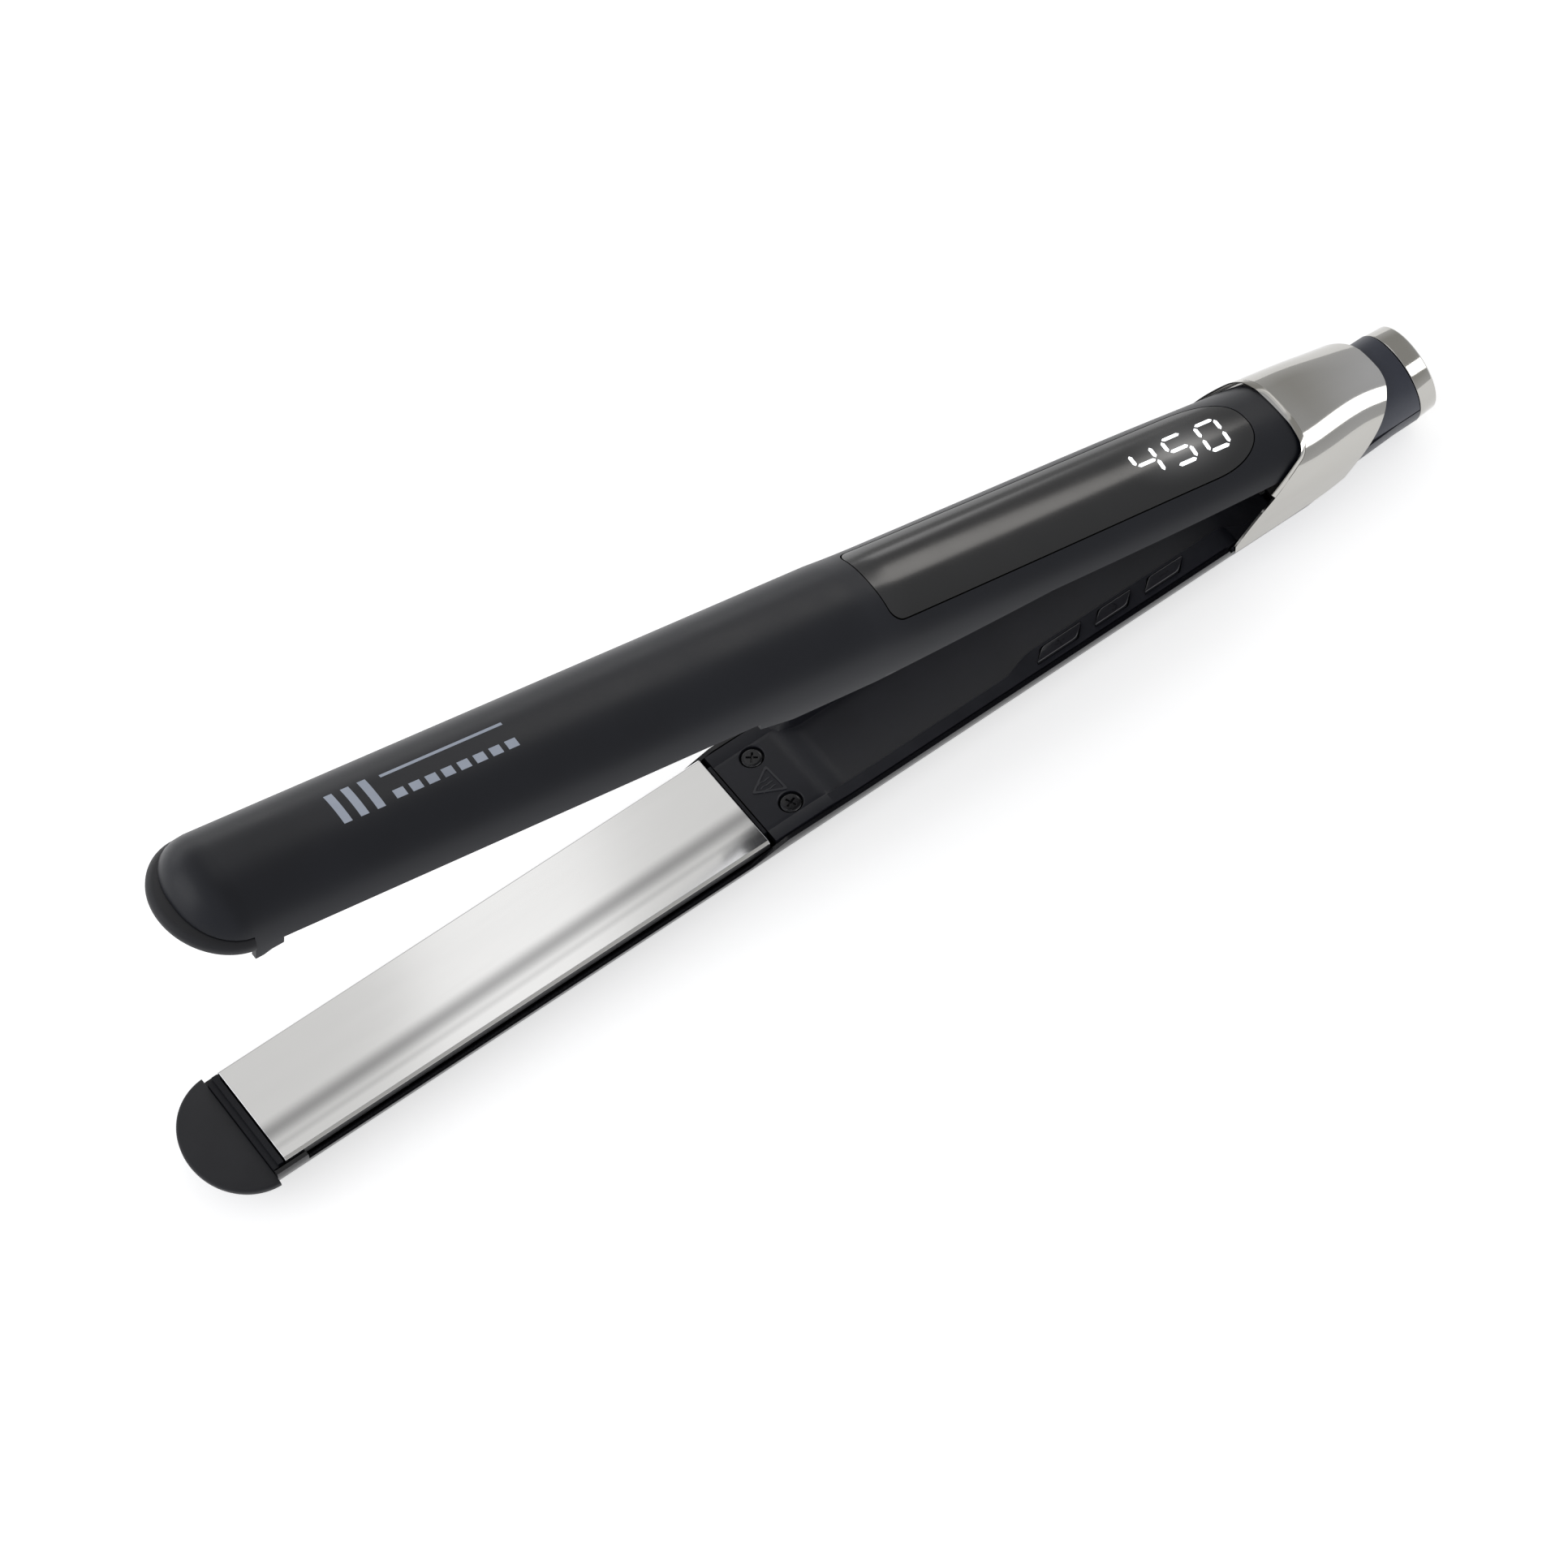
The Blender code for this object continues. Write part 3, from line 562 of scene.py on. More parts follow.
def shell(name, arm, where, stations, rim, cavity_end):
    """Hollow half shell with its rim cut to a side profile."""
    ob = to_object(name, arm_solid(arm, 0, 0, stations, -4.0), where)
    inner_x = [-9.3, -8.2, -6.6, -2.5] + [x for x in stations if 0 < x < cavity_end]
    inner = to_object("c", arm_solid(arm, arm["b"] - arm["b_in"], arm["h"] - arm["h_in"],
                                      inner_x + [cavity_end], -6.0), where)
    rims = to_object("c", prism([(-20, -8)] + rim + [(rim[-1][0], -8)], -16, 16, "y"), where)
    cut(ob, [inner])
    cut(ob, [rims])
    if arm is LOWER:
        cut(ob, [to_object("c", box(-2.9, 6, 5, 16, -8, 3.0), where)])
    else:
        for side in (-1, 1):
            wedge = [(side * 16, -6), (side * 16, 4.2), (side * 14.75, 3.3), (side * 13.55, 1.68),
                     (side * 13.55, -6)]
            cut(ob, [to_object("c", prism(wedge, 3.2, 112, "x"), where)])
    return ob


lower_shell = shell("lower_shell_skin", LOWER, "lower", LOWER_X, LOWER_RIM, 290)
piece(shade(lower_shell, 30, 0.22), "lower", "lower_arm", "shell_soft_touch", "lower_shell")

upper_shell = shell("upper_shell_skin", UPPER, "upper", UPPER_X, UPPER_RIM, 241.5)
pocket = to_object("c", prism(window_outline(0.12), 4, 20, "w"), "upper")
floor_of_pocket = to_object("c", arm_solid(UPPER, 1.6, 1.6, UPPER_X, -2), "upper")
cut(pocket, [floor_of_pocket])
cut(upper_shell, [pocket])
cut(upper_shell, [to_object(f"slot{s}", box(238, 262, s * 5.45 - 1.35, s * 5.45 + 1.35, -2, 6.9),
                            "upper") for s in (-1, 1)])
piece(shade(upper_shell, 30, 0.2), "shell", "upper_arm", "shell_soft_touch", "upper_shell")

window = to_object("display_panel", arm_solid(UPPER, 0, 0, UPPER_X, -2), "upper")
cut(window, [to_object("c", prism(window_outline(-0.12), 3, 20, "w"), "upper")], 'INTERSECT')
cut(window, [to_object("c", arm_solid(UPPER, 1.3, 1.3, UPPER_X, -3), "upper")])
piece(shade(window, 30, 0.16), "window", "upper_arm", "smoked_panel", "display_window")


def tip_lip(name, where, body, node_name):
    """Half-moon lip at the tip, rounded in steps of depth and inset."""
    rings = []
    for w, inset in ((2.75, 0.55), (2.8, 0.3), (2.95, 0.1), (3.15, 0.0), (3.7, 0.0), (4.0, 0.06),
                     (4.3, 0.2), (4.6, 0.45), (4.9, 0.8), (5.2, 1.4)):
        ring = []
        for i in range(97):
            a = math.pi * i / 96
            ring.append((min(-2.96, TIP_X - (TIP_RX - inset) * math.sin(a)),
                         (TIP_RY - inset) * math.cos(a), w))
        rings.append(ring)
    ob = to_object(name, loft(rings), where)
    return piece(shade(ob, 50), "lip", body, "inner_plastic", node_name)


tip_lip("lower_tip_lip", "lower", "lower_arm", "lower_tip_cap")
tip_lip("upper_tip_lip", "upper", "upper_arm", "upper_tip_cap")


# ------------------------------------------------------------------ plates and trays
def plate(name, where, body, node_name):
    """Floating plate with two rails; the lower one has dark sides."""
    half, e = PLATE_HALF, PLATE_EDGE
    section = [(-half + e, 0), (half - e, 0), (half, e), (half, 2.12), (9.4, 2.12), (9.4, 5.35),
               (8.2, 5.35), (8.2, 2.2), (-8.2, 2.2), (-8.2, 5.35), (-9.4, 5.35), (-9.4, 2.12),
               (-half, 2.12), (-half, e)]
    ob = to_object(name, prism(section, 0, PLATE_L, "x"), where)
    piece(shade(ob, 30, 0.18, 3), "plate", body, "plate_metal", node_name)
    ob.data.materials.append(M["plate_side"])
    if where == "upper":
        return ob
    for poly in ob.data.polygons:
        if abs(poly.normal.y) > 0.9 or abs(poly.normal.x) > 0.9:
            poly.material_index = 1
    return ob


plate("lower_plate_face", "lower", "lower_plate_float", "lower_plate")
plate("upper_plate_face", "upper", "upper_plate_float", "upper_plate")


def pad(prefix, end, x0):
    """Silicone pad under the heater."""
    rings = []
    for w, inset in ((4.2, 0.7), (4.32, 0.35), (4.5, 0.1), (4.7, 0.0), (5.2, 0.0), (5.5, 0.1), (5.6, 0.3)):
        outline = [(x0 + inset, -5.5 + inset), (x0 + 10 - inset, -5.5 + inset),
                   (x0 + 10 - inset, 5.5 - inset), (x0 + inset, 5.5 - inset)]
        rings.append([(x, y, w) for x, y in rounded(outline, 1.2, 6)])
    ob = to_object(f"{prefix}_silicone_pad_{end}", loft(rings), prefix)
    piece(shade(ob, 40), "rubber", prefix + "_arm", "cushion_silicone", f"{prefix}_cushion_{end}")
    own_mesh(ob)


for prefix in ("lower", "upper"):
    for end, x0 in (("front", 20), ("rear", 86)):
        pad(prefix, end, x0)


def mix(a, b, t):
    """Smooth step from a to b."""
    t = max(0.0, min(1.0, t))
    return a + (b - a) * t * t * (3 - 2 * t)


def tray_section(x):
    """Floor depth, near wall and underside of the lower tray at x."""
    floor = 1.0 if x < 130 else mix(1.0, 4.6, (x - 130.5) / 8.5)
    near = 9.7 if x < 176 else mix(9.7, 7.6, (x - 176) / 9.0)
    near = mix(near, 9.7, (x - 233.5) / 5.0) if x > 233.5 else near
    under = 3.6 if x < 130 else mix(3.6, 5.8, (x - 130) / 8.0)
    return floor, near, under


TRAY_X = [117.75, 124, 129] + [130.5 + 0.85 * k for k in range(11)] + [145, 175] + \
         [176.5 + k for k in range(9)] + [200, 232, 233.5, 234.5, 235.5, 236.5, 237.5, 238.5, 246]
rings = []
for x in TRAY_X:
    floor_w, near, under = tray_section(x)
    top = 1.0 if x < 130.6 else 1.0 + 0.5 * min(1, (x - 130.5) / 5) if x < 233 else \
        1.5 + 1.1 * min(1, (x - 233) / 1.5)
    edge = 12.6 if x < 233 else 12.3
    step = min(0.5, (floor_w - top) * 0.3 + 0.001)
    rings.append([(x, -edge, top), (x, -near - 0.25, top + 0.001), (x, -near, top + 0.12 + step * 0.3),
                  (x, -near + 0.55, floor_w - step * 0.4), (x, -near + 1.0, floor_w),
                  (x, 8.5, floor_w), (x, 9.0, floor_w - step * 0.4),
                  (x, 9.55, top + 0.12 + step * 0.3), (x, 9.8, top + 0.001), (x, edge, top),
                  (x, edge, 2.9), (x, 10.8, 3.0), (x, 9.6, under), (x, -near + 0.1, under),
                  (x, -near - 1.1, 3.0), (x, -edge, 2.9)])
tray = to_object("lower_tray", loft(rings), "lower")
cutters = []
for side in (-1, 1):
    prof = [(0.5, 0.0), (0.5, 3.05), (1.0, 2.85), (1.2, 2.62), (2.62, 2.62), (2.62, 0.0)]
    cutters.append(to_object("c", turned(prof, (SCREW_X, side * SCREW_Y), "w", 64), "lower"))
    prof = [(2.0, 0.0), (2.0, 1.4), (7.0, 1.4), (7.0, 0.0)]
    cutters.append(to_object("c", turned(prof, (SCREW_X, side * SCREW_Y), "w", 32), "lower"))

BUTTONS = {"plus": (184.0, 197.0), "power": (198.6, 209.7), "minus": (211.3, 223.0)}
SLANT = 3.0


def button_outline(x0, x1, grow):
    y0, y1 = -11.3 - grow, -8.7 + grow
    return [(x0 - grow, y0), (x1 - SLANT + grow, y0), (x1 + grow, y1), (x0 + SLANT - grow, y1)]


for x0, x1 in BUTTONS.values():
    cutters.append(to_object("c", prism(rounded(button_outline(x0, x1, 0.28), 0.5), 0.5, 3.6, "w"),
                             "lower"))
for c in cutters:
    cut(tray, [c])
piece(shade(tray, 28, 0.12), "tray", "lower_arm", "inner_plastic", "lower_inner_cover")


def screw(name, where, body, side, node_name):
    """Flat-headed cover screw with a cross slot."""
    at = (SCREW_X, side * SCREW_Y)
    prof = [(1.3, 0.0), (1.28, 1.6), (1.33, 1.95), (1.5, 2.2), (1.75, 2.3), (2.3, 2.3),
            (2.35, 1.05), (7.4, 1.05), (7.4, 0.0)]
    ob = to_object(name, turned(prof, at, "w", 64), where)
    turn = 0.35 if side < 0 else 0.9
    for k in range(2):
        a = turn + k * math.pi / 2
        c, s = math.cos(a), math.sin(a)
        bar = [(at[0] + c * u - s * v, at[1] + s * u + c * v)
               for u, v in ((-1.25, -0.24), (1.25, -0.24), (1.25, 0.24), (-1.25, 0.24))]
        cut(ob, [to_object("c", prism(bar, 0.9, 1.9, "w"), where)])
    return piece(shade(ob, 30, 0.05), "screw", body, "black_screw", node_name)


for arm_name, where, body, prefix in (("lower", "lower", "lower_arm", "cover_screw"),
                                      ("upper", "upper", "upper_arm", "upper_screw")):
    for side, tail in ((-1, "near"), (1, "far")):
        screw(f"{arm_name}_screw_{tail}", where, body, side, f"{prefix}_{tail}")

# warning triangle and heat waves, raised from the screw platform
TRIANGLE = [(126.4, 3.4), (126.8, -4.2), (120.2, -0.6)]
centre = Vector((sum(p[0] for p in TRIANGLE) / 3, sum(p[1] for p in TRIANGLE) / 3))


def scaled(points, f):
    return [tuple(centre + (Vector(p) - centre) * f) for p in points]


emboss = to_object("warning_triangle", prism(rounded(TRIANGLE, 0.8), 0.84, 1.02, "w"), "lower")
cut(emboss, [to_object("c", prism(rounded(scaled(TRIANGLE, 0.80), 0.6), 0.7, 1.2, "w"), "lower")])
piece(shade(emboss, 30, 0.04), "platform", "lower_arm", "inner_plastic")
for k in range(3):
    y = -1.7 + 1.1 * k
    ob = bpy.data.curves.new(f"heat_wave_{k}", 'CURVE')
    ob.dimensions = '3D'
    ob.bevel_depth = 0.00013
    ob.bevel_resolution = 2
    ob.use_fill_caps = True
    sp = ob.splines.new('NURBS')
    pts = [(125.4 - 0.62 * i, y + 0.22 * math.sin(i * 2.1)) for i in range(6)]
    sp.points.add(len(pts) - 1)
    for q, p in zip(sp.points, pts):
        q.co = (*place((p[0], p[1], 0.99), "lower"), 1)
    sp.use_endpoint_u = True
    wave = bpy.data.objects.new(f"heat_wave_{k}", ob)
    bpy.context.scene.collection.objects.link(wave)
    piece(wave, "platform", "lower_arm", "inner_plastic")


# ------------------------------------------------------------------ buttons
def button(name, look):
    """Key with a domed top and an engraved symbol."""
    x0, x1 = BUTTONS[name]
    outline = rounded(button_outline(x0, x1, 0), [0.4, 0.9, 0.4, 0.9], 5)
    cx, cy = (x0 + x1) / 2, -10.0
    rings = []
    for w, f in ((3.5, 1.0), (1.32, 1.0), (1.22, 0.985), (1.14, 0.955), (1.08, 0.9), (1.05, 0.82)):
        rings.append([(cx + (x - cx) * (1 - (1 - f) * 0.22), cy + (y - cy) * f, w)
                      for x, y in outline])
    ob = to_object(f"{name}_key", loft(rings), "lower")
    cutters = []
    if name in ("plus", "minus"):
        cutters.append(box(cx - 1.2, cx + 1.2, cy - 0.16, cy + 0.16, 0.8, 1.22))
    if name == "plus":
        cutters.append(box(cx - 0.2, cx + 0.2, cy - 0.75, cy + 0.75, 0.8, 1.22))
    if name == "power":
        ring = circle(cx, cy, 0.85, 40, 40, 320) + circle(cx, cy, 0.58, 40, 320, 40)
        ring = [(cx - (x - cx), cy + (y - cy)) for x, y in ring]
        cutters.append(prism(ring, 0.8, 1.22, "w"))
        cutters.append(box(cx - 0.05, cx + 1.0, cy - 0.13, cy + 0.13, 0.8, 1.22))
    for c in cutters:
        cut(ob, [to_object("c", c, "lower")])
    return piece(shade(ob, 40), look, f"{name}_button", "button_plastic", f"{name}_button")


for key in BUTTONS:
    button(key, "button")


# ------------------------------------------------------------------ hood, barrel and ring
FRONT = [(232.1, -3), (232.3, -0.4), (233.1, 0.3), (236.8, 3.6), (240.6, 6.6), (245.6, 9.1),
         (249.5, 10.4), (252.2, 11.1), (253.6, 12.0), (254.5, 13.1), (254.9, 14.1),
         (255.1, 15.0), (255.2, 22)]
REAR = [(278.7, 22), (278.7, 9.2), (278.0, 8.5), (276.4, 7.6), (274.3, 6.1), (271.6, 4.2),
        (268.4, 2.2), (265.0, 0.2), (261.4, -2.2), (260.4, -3)]
# x, half width, height of the top, superellipse power, height of the widest place
HOOD = [(231, 14.8, 21.0, 2.3, 8.4), (237, 14.8, 19.6, 2.3, 6.9), (243, 14.8, 18.15, 2.3, 5.2),
        (248, 14.75, 16.9, 2.3, 3.8), (252, 14.7, 15.9, 2.3, 2.8), (255, 14.6, 15.25, 2.3, 2.15),
        (258, 14.4, 14.75, 2.26, 1.6), (261, 14.1, 14.35, 2.22, 1.15), (264, 13.75, 13.9, 2.18, 0.8),
        (267, 13.35, 13.3, 2.14, 0.55), (270, 12.95, 12.55, 2.1, 0.4), (273, 12.65, 11.65, 2.06, 0.3),
        (276, 12.4, 10.6, 2.03, 0.25), (279, 12.2, 9.4, 2.0, 0.2)]


def hood_row(x):
    """Half width, top, superellipse power and height of the widest place."""
    return [smooth_table(x, [(row[0], row[k]) for row in HOOD]) for k in range(1, 5)]


def hood_ring(x, thin_b=0.0, thin_t=0.0, base=HOOD_BASE - 0.001):
    """Hood section at x, thinned at the sides and the top for the inside."""
    b, top, n, mid = hood_row(x)
    b, top = b - thin_b, top - thin_t
    low = b * (1 - ((min(mid, 1.0) - HOOD_BASE) / (top - mid)) ** n) ** (1 / n)
    ring = arch(x, b, mid, top - mid, n, HOOD_BASE - 0.001, steps=120)
    ring[0], ring[-1] = (x, low, base), (x, -low, base)
    return ring


def spline(points, steps=6):
    """Catmull-Rom through the points."""
    out = []
    for i in range(len(points) - 1):
        p = [Vector(points[max(0, min(len(points) - 1, i + k))]) for k in (-1, 0, 1, 2)]
        for s in range(steps):
            t = s / steps
            q = 0.5 * (2 * p[1] + (p[2] - p[0]) * t + (2 * p[0] - 5 * p[1] + 4 * p[2] - p[3]) * t * t
                       + (3 * p[1] - p[0] - 3 * p[2] + p[3]) * t ** 3)
            out.append((q.x, q.y))
    return out + [tuple(points[-1])]


HOOD_STATIONS = [HOOD[0][0] + (HOOD[-1][0] - HOOD[0][0]) * k / 40 for k in range(41)]
hood = to_object("hood_shell", loft([hood_ring(x) for x in HOOD_STATIONS]), "row")
inner = [hood_ring(x, 0.5, 0.6, -4) for x in range(229, 272, 2)]
inner += [arch(x, BARREL_R + 0.35, BARREL_Z, BARREL_R + 0.35, 2.0, -4, steps=120)
          for x in (275, 285)]
cut(hood, [to_object("c", loft(inner), "row")])
side = [FRONT[0], FRONT[1]] + spline(FRONT[1:-1], 5)[1:] + [FRONT[-1], REAR[0]] + \
    spline(REAR[1:-1], 5) + [REAR[-1]]
cut(hood, [to_object("c", prism(side, -18, 18, "y"), "row")], 'INTERSECT')
piece(shade(hood, 32, 0.18), "hood", "lower_arm", "polished_metal", "hinge_hood")


FRONT_BY_HEIGHT = [(z, x) for x, z in FRONT[1:]]


def front_edge(theta):
    """Point of the hood's front edge at section angle theta, with its ahead and outward directions."""
    x = 250.0
    for _ in range(40):
        b, top, n, mid = hood_row(x)
        c, s = math.cos(theta), max(0.0, math.sin(theta))
        y = b * math.copysign(abs(c) ** (2 / n), c)
        z = mid + (top - mid) * s ** (2 / n)
        x += 0.5 * (smooth_table(z, FRONT_BY_HEIGHT) - x)
    dz = 0.2
    slope = smooth_table(z + dz, FRONT_BY_HEIGHT) - smooth_table(z - dz, FRONT_BY_HEIGHT)
    slope /= 2 * dz
    f = 1 / math.hypot(1, slope)
    return Vector((x, y, z)), Vector((-f, 0, slope * f)), Vector((0, y, z)).normalized()


rings = []
for k in range(121):
    theta = math.radians(9 + 162 * k / 120)
    p, ahead, out = front_edge(theta)
    rings.append([p - out * 0.05 - ahead * 0.05, p + ahead * 0.75 - out * 0.22,
                  p + ahead * 1.35 - out * 0.55, p + ahead * 1.3 - out * 0.8,
                  p + ahead * 0.2 - out * 0.52, p - ahead * 0.5 - out * 0.5])
lip = to_object("hood_front_lip", loft([[tuple(v) for v in r] for r in rings]), "row")
piece(shade(lip, 40), "hood", "lower_arm", "polished_metal")

cover = to_object("barrel_skin", loft([arch(x, BARREL_R, BARREL_Z, BARREL_R, 2.0, BARREL_Z - 0.001)
                                       for x in (268.6, 276, BARREL_END)]), "row")
cut(cover, [to_object("c", loft([arch(x, BARREL_R - 1.5, BARREL_Z, BARREL_R - 1.5, 2.0, -3)
                                 for x in (266, 276, BARREL_END + 2)]), "row")])
piece(shade(cover, 32, 0.12), "barrel", "lower_arm", "barrel_plastic", "barrel_cover")

ring = rounded([(284.05, 10.24), (288.3, 9.98), (288.6, 9.6), (288.6, 5.4), (286.4, 5.4),
                (286.4, 7.0), (280.6, 7.0), (280.6, 8.3), (284.05, 8.3)],
               [0.25, 0.3, 0.3, 0.25, 0, 0, 0, 0, 0.1], 4)
piece(shade(to_object("end_ring_bright", turned(ring, (0, BARREL_Z), "x", 160), "row"), 32),
      "hood", "lower_arm", "polished_metal", "end_ring")
gland = rounded([(277.2, 3.1), (277.2, 4.5), (281.0, 4.5), (281.0, 6.7), (286.1, 6.7),
                 (286.1, 5.1), (288.2, 5.1), (288.4, 4.9), (288.4, 3.1)],
                [0.2, 0, 0, 0, 0, 0, 0.2, 0.2, 0.4], 4)
gland_ob = to_object("cord_gland_swivel", turned(gland, (0, BARREL_Z), "x", 120), "row")
for k in range(6):
    a = 2 * math.pi * k / 6
    c, s = math.cos(a), math.sin(a)
    bar = [(c * u - s * v, BARREL_Z + s * u + c * v)
           for u, v in ((3.7, -0.28), (4.6, -0.28), (4.6, 0.28), (3.7, 0.28))]
    cut(gland_ob, [to_object("c", prism(bar, 287.6, 289, "x"), "row")])
piece(shade(gland_ob, 32), "tray", "cord_gland", "inner_plastic", "cord_gland")


# ------------------------------------------------------------------ prints on the upper arm
def skin_patch(name, outline, lift, thick, look, slot):
    """Thin raised print that follows the upper arm's outside."""
    bm = bmesh.new()
    low = [bm.verts.new((x, y, upper_top(x, y, lift - thick))) for x, y in outline]
    high = [bm.verts.new((x, y, upper_top(x, y, lift))) for x, y in outline]
    n = len(outline)
    for i in range(n):
        j = (i + 1) % n
        bm.faces.new((low[i], low[j], high[j], high[i]))
    bm.faces.new(low[::-1])
    bm.faces.new(high)
    bmesh.ops.triangulate(bm, faces=[f for f in bm.faces if len(f.verts) > 4])
    ob = to_object(name, bm, "upper")
    return piece(shade(ob, 40), look, "upper_arm", slot)


def skin_bar(name, x0, x1, y0, y1, lift, thick, look, slot):
    """Rectangular print across the arch, in narrow strips that follow its curve."""
    n = max(2, int((y1 - y0) / 0.4))
    rings = []
    for i in range(n + 1):
        y = y0 + (y1 - y0) * i / n
        rings.append([(x0, y, upper_top(x0, y, lift)), (x1, y, upper_top(x1, y, lift)),
                      (x1, y, upper_top(x1, y, lift - thick)),
                      (x0, y, upper_top(x0, y, lift - thick))])
    return piece(shade(to_object(name, loft(rings), "upper"), 40), look, "upper_arm", slot)


def bar(x0, y0, x1, y1, width, taper=0.5):
    """Six-sided bar between two points, as an LED segment."""
    a, b = Vector((x0, y0)), Vector((x1, y1))
    u = (b - a).normalized()
    v = Vector((-u.y, u.x))
    h = width / 2
    return [tuple(p) for p in (a, a + u * taper + v * h, b - u * taper + v * h, b,
                               b - u * taper - v * h, a + u * taper - v * h)]


SEGMENTS = {"4": "fgbc", "5": "afgcd", "0": "abcdef"}


def digit(char, x0, index):
    """Seven-segment figure; it reads toward +x with its top toward +y."""
    wide, tall, lean = 5.2, 7.2, 0.9
    lo, hi, mid_y = -4.1, -4.1 + tall, -4.1 + tall / 2

    def at(u, y):
        return x0 + u + lean * (y - lo) / tall, y
    g = 0.35
    lines = {"a": (at(g, hi), at(wide - g, hi)), "d": (at(g, lo), at(wide - g, lo)),
             "g": (at(g, mid_y), at(wide - g, mid_y)),
             "f": (at(0, mid_y + g), at(0, hi - g)), "b": (at(wide, mid_y + g), at(wide, hi - g)),
             "e": (at(0, lo + g), at(0, mid_y - g)), "c": (at(wide, lo + g), at(wide, mid_y - g))}
    for key in SEGMENTS[char]:
        (ax, ay), (bx, by) = lines[key]
        skin_patch(f"digit{index}_{key}", bar(ax, ay, bx, by, 0.86), 0.03, 0.05, "glow",
                   "display_black")


for index, (char, x0) in enumerate(zip("450", (213.6, 222.0, 230.6))):
    digit(char, x0, index)

# plain generic mark near the tip: three short bars, a rule and a row of dashes
MARK = [(22.5, 24.3, -3.6, 3.9), (26.2, 28.0, -3.6, 3.9), (29.9, 31.7, -3.6, 3.9),
        (34.5, 62.0, 2.7, 3.4)] + [(34.5 + 3.6 * k, 36.9 + 3.6 * k, -3.2, -1.2) for k in range(8)]
for k, (x0, x1, y0, y1) in enumerate(MARK):
    skin_bar(f"print_bar_{k}", x0, x1, y0, y1, 0.02, 0.04, "mark", "shell_soft_touch")

# ------------------------------------------------------------------ CAD nodes that stay
LOOK_OF = {"plate_carrier": "tray", "heater": "ceramic", "cushion": "rubber", "board": "board",
           "switch": "steel", "fuse": "steel", "lead": "wire", "hinge_base": "steel",
           "hinge_pin": "steel", "hinge_spring": "steel", "hinge_knuckle": "steel",
           "retainer": "steel", "module": "window", "inner_cover": "tray"}
for name, ob in frame["nodes"].items():
    if ob.hide_render:
        continue
    look = next(v for k, v in LOOK_OF.items() if k in name)
    ob.data.materials.clear()
    ob.data.materials.append(M[look])

# ------------------------------------------------------------------ floor, lights, camera
bm = bmesh.new()
bmesh.ops.create_grid(bm, x_segments=1, y_segments=1, size=6.0)
floor = bpy.data.meshes.new("floor")
bm.to_mesh(floor)
bm.free()
floor = bpy.data.objects.new("floor", floor)
bpy.context.scene.collection.objects.link(floor)
floor.data.materials.append(surface("floor_white", (0.90, 0.90, 0.90), (0.92, 0.92, 0.92), 0.7,
                                    bump=0, patch=3, grain=40, specular=0.1, emit=0.6))


def receivers(name, words):
    """Pieces a light is meant for."""
    group = bpy.data.collections.new(name)
    for ob in bpy.context.scene.objects:
        if ob.type in {'MESH', 'CURVE'} and any(word in ob.name for word in words):
            group.objects.link(ob)
    return group


def area(name, at, target, size_x, size_y, radiance, colour=(1, 1, 1), along=(0, 0, 0), words=()):
    """Rectangular light of a given radiance; words pick the pieces it is meant for."""
    data = bpy.data.lights.new(name, 'AREA')
    data.shape = 'RECTANGLE'
    data.size, data.size_y = size_x, size_y
    data.energy = radiance * math.pi * size_x * size_y
    data.color = colour
    ob = bpy.data.objects.new(name, data)
    bpy.context.scene.collection.objects.link(ob)
    away = (Vector(at) - Vector(target)).normalized()
    side = Vector(along) if any(along) else Vector((0, 0, 1)).cross(away)
    side = (side - away * side.dot(away)).normalized()
    turn = Matrix((side, away.cross(side), away)).transposed().to_4x4()
    ob.matrix_world = Matrix.Translation(at) @ turn
    ob.visible_camera = False
    if words:
        ob.light_linking.receiver_collection = receivers(name + "_on", words)
    return ob


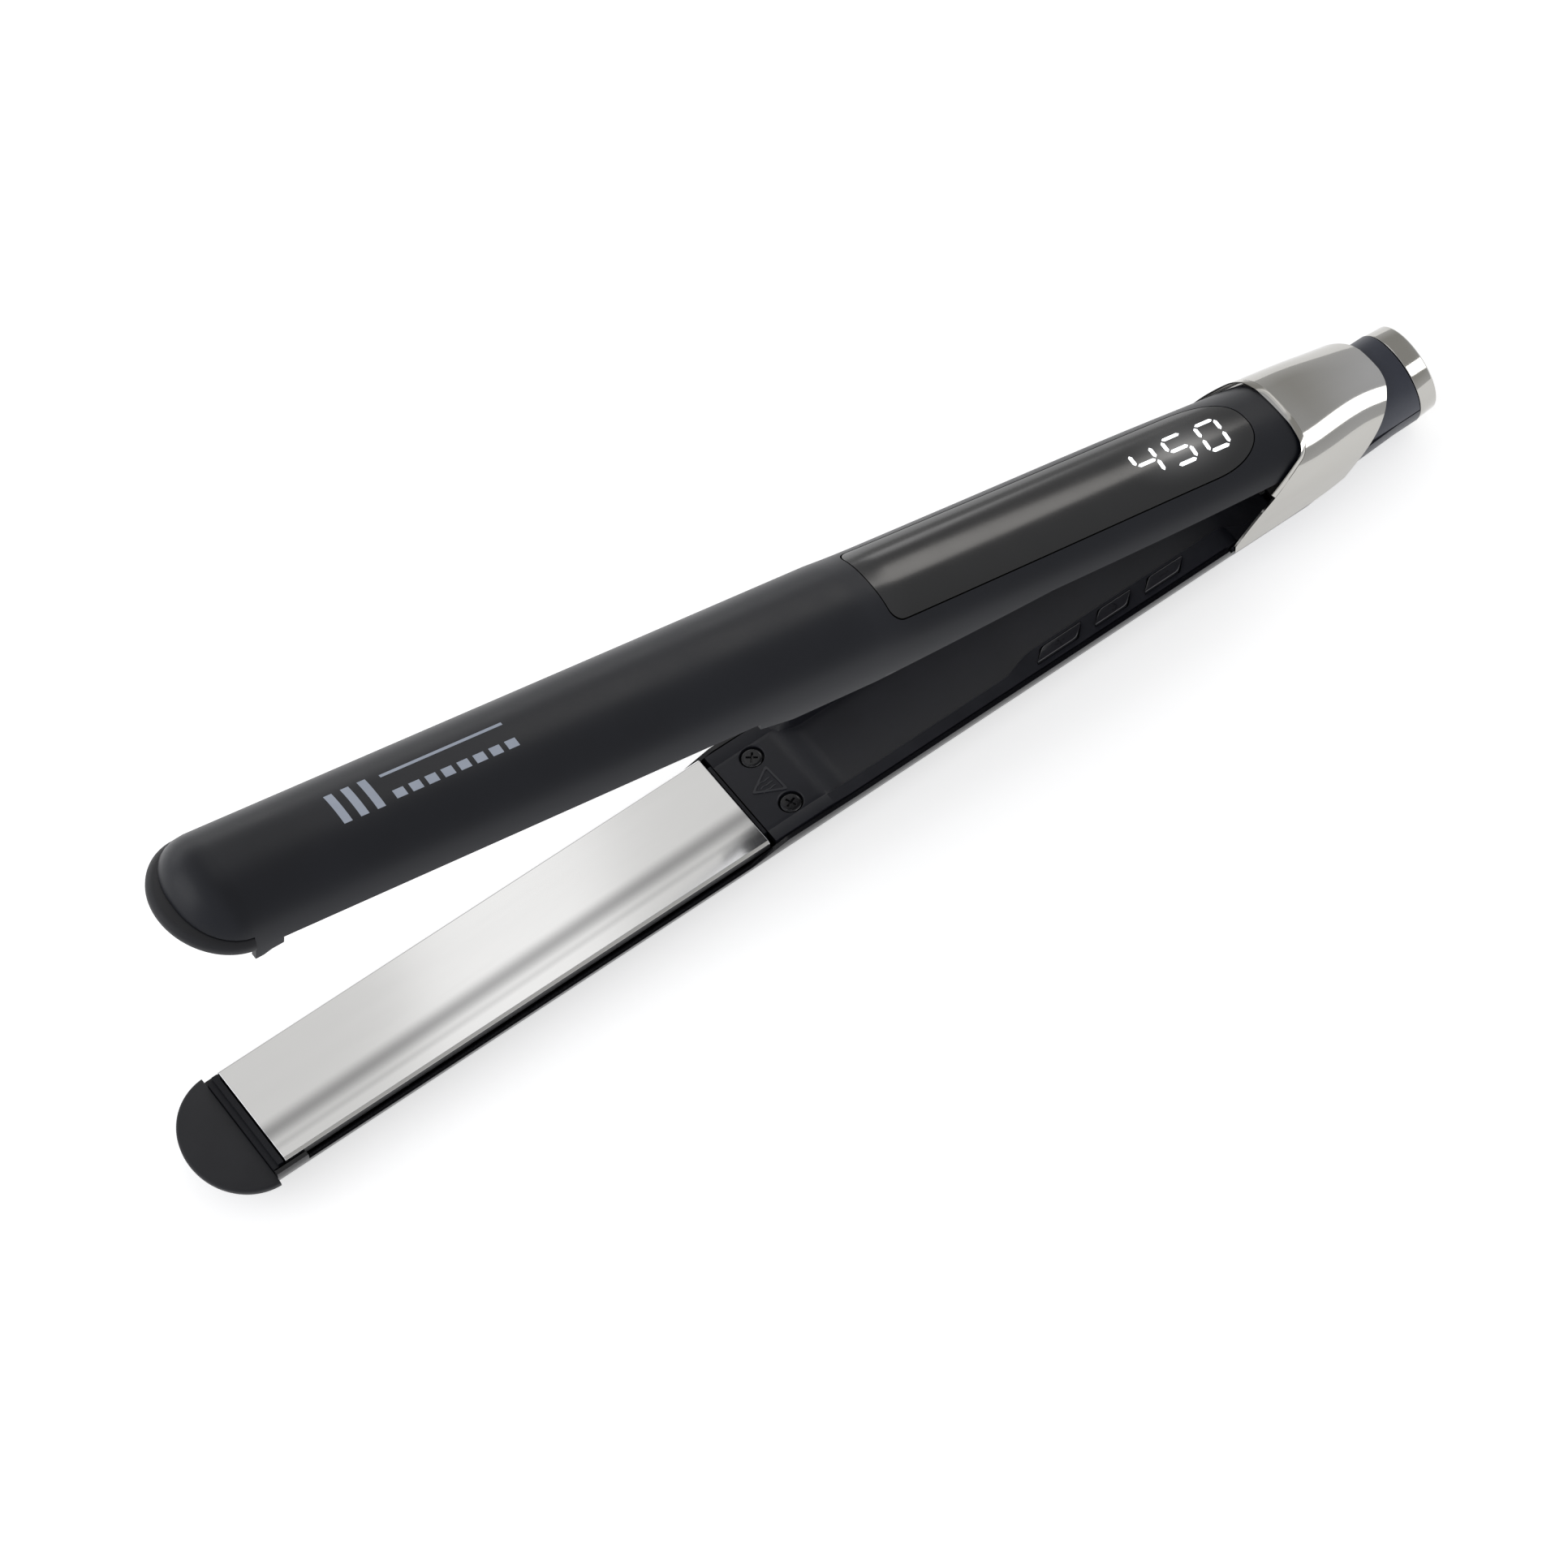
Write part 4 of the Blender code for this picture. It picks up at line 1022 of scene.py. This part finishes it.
DETAIL = ("_key", "lower_tray", "screw", "warning", "heat_wave")
BRIGHT = ("hood", "end_ring") + DETAIL
SKIN = ("upper_shell", "lower_shell", "display_panel", "tip_lip") + DETAIL
area("plate_box", (0.10, 0.40, 0.70), (-0.08, 0, 0.012), 0.36, 0.50, 0.33)
area("plate_middle", (0.078, 0.395, 0.69), (-0.08, 0, 0.012), 0.075, 0.40, 0.34)
area("window_strip", (0.84, 0.60, 0.78), (0.05, 0, 0.04), 0.32, 0.30, 2.7, (1, 0.97, 0.93), words=SKIN)
area("near_card", (0.68, -0.71, 0.79), (0.125, -0.01, 0.02), 1.5, 0.52, 2.6,
     along=(0.507, 0.188, -0.258), words=BRIGHT)
area("left_box", (-1.5, 0.9, 0.9), (0, 0, 0), 1.0, 1.0, 1.2)
area("far_strip", (0.10, 1.5, 0.55), (0, 0, 0), 2.2, 0.35, 1.8, words=SKIN)

world = bpy.data.worlds.new("studio")
bpy.context.scene.world = world
world.use_nodes = True
wn, wl = world.node_tree.nodes, world.node_tree.links
coord = wn.new("ShaderNodeTexCoord")
split = wn.new("ShaderNodeSeparateXYZ")
wl.new(coord.outputs["Generated"], split.inputs[0])
off = node(wn, "ShaderNodeMath", operation='SUBTRACT', i_1=0.25)
wl.new(split.outputs["X"], off.inputs[0])
away = node(wn, "ShaderNodeMath", operation='ABSOLUTE')
wl.new(off.outputs[0], away.inputs[0])
sides = ranged(wn, wl, away.outputs[0], 0.0, 1.0, 0.25, 0.6)
up = ranged(wn, wl, split.outputs["Z"], 0.0, 1.0, 0.0, 0.45)
middle = tint(wn, wl, up, (0.62, 0.62, 0.62), (0.40, 0.395, 0.38))
bright = node(wn, "ShaderNodeMix", data_type='RGBA')
wl.new(sides, bright.inputs[0])
wl.new(middle, bright.inputs[6])
bright.inputs[7].default_value = (0.62, 0.63, 0.66, 1)
wl.new(bright.outputs[2], wn["Background"].inputs["Color"])

cam = bpy.data.cameras.new("camera")
cam.lens = 131.53
cam.sensor_width = 36.0
cam.clip_start, cam.clip_end = 0.05, 20
cam_ob = bpy.data.objects.new("camera", cam)
bpy.context.scene.collection.objects.link(cam_ob)
right = Vector((0.812286, -0.574967, -0.097998))
down = Vector((-0.530146, -0.65777, -0.535054))
ahead = Vector((0.243179, 0.48657, -0.839115))
turn = Matrix((right, -down, -ahead)).transposed().to_4x4()
cam_ob.matrix_world = Matrix.Translation((-0.290424, -0.564144, 0.979479)) @ turn
bpy.context.scene.camera = cam_ob
bpy.context.scene.view_settings.view_transform = 'Standard'
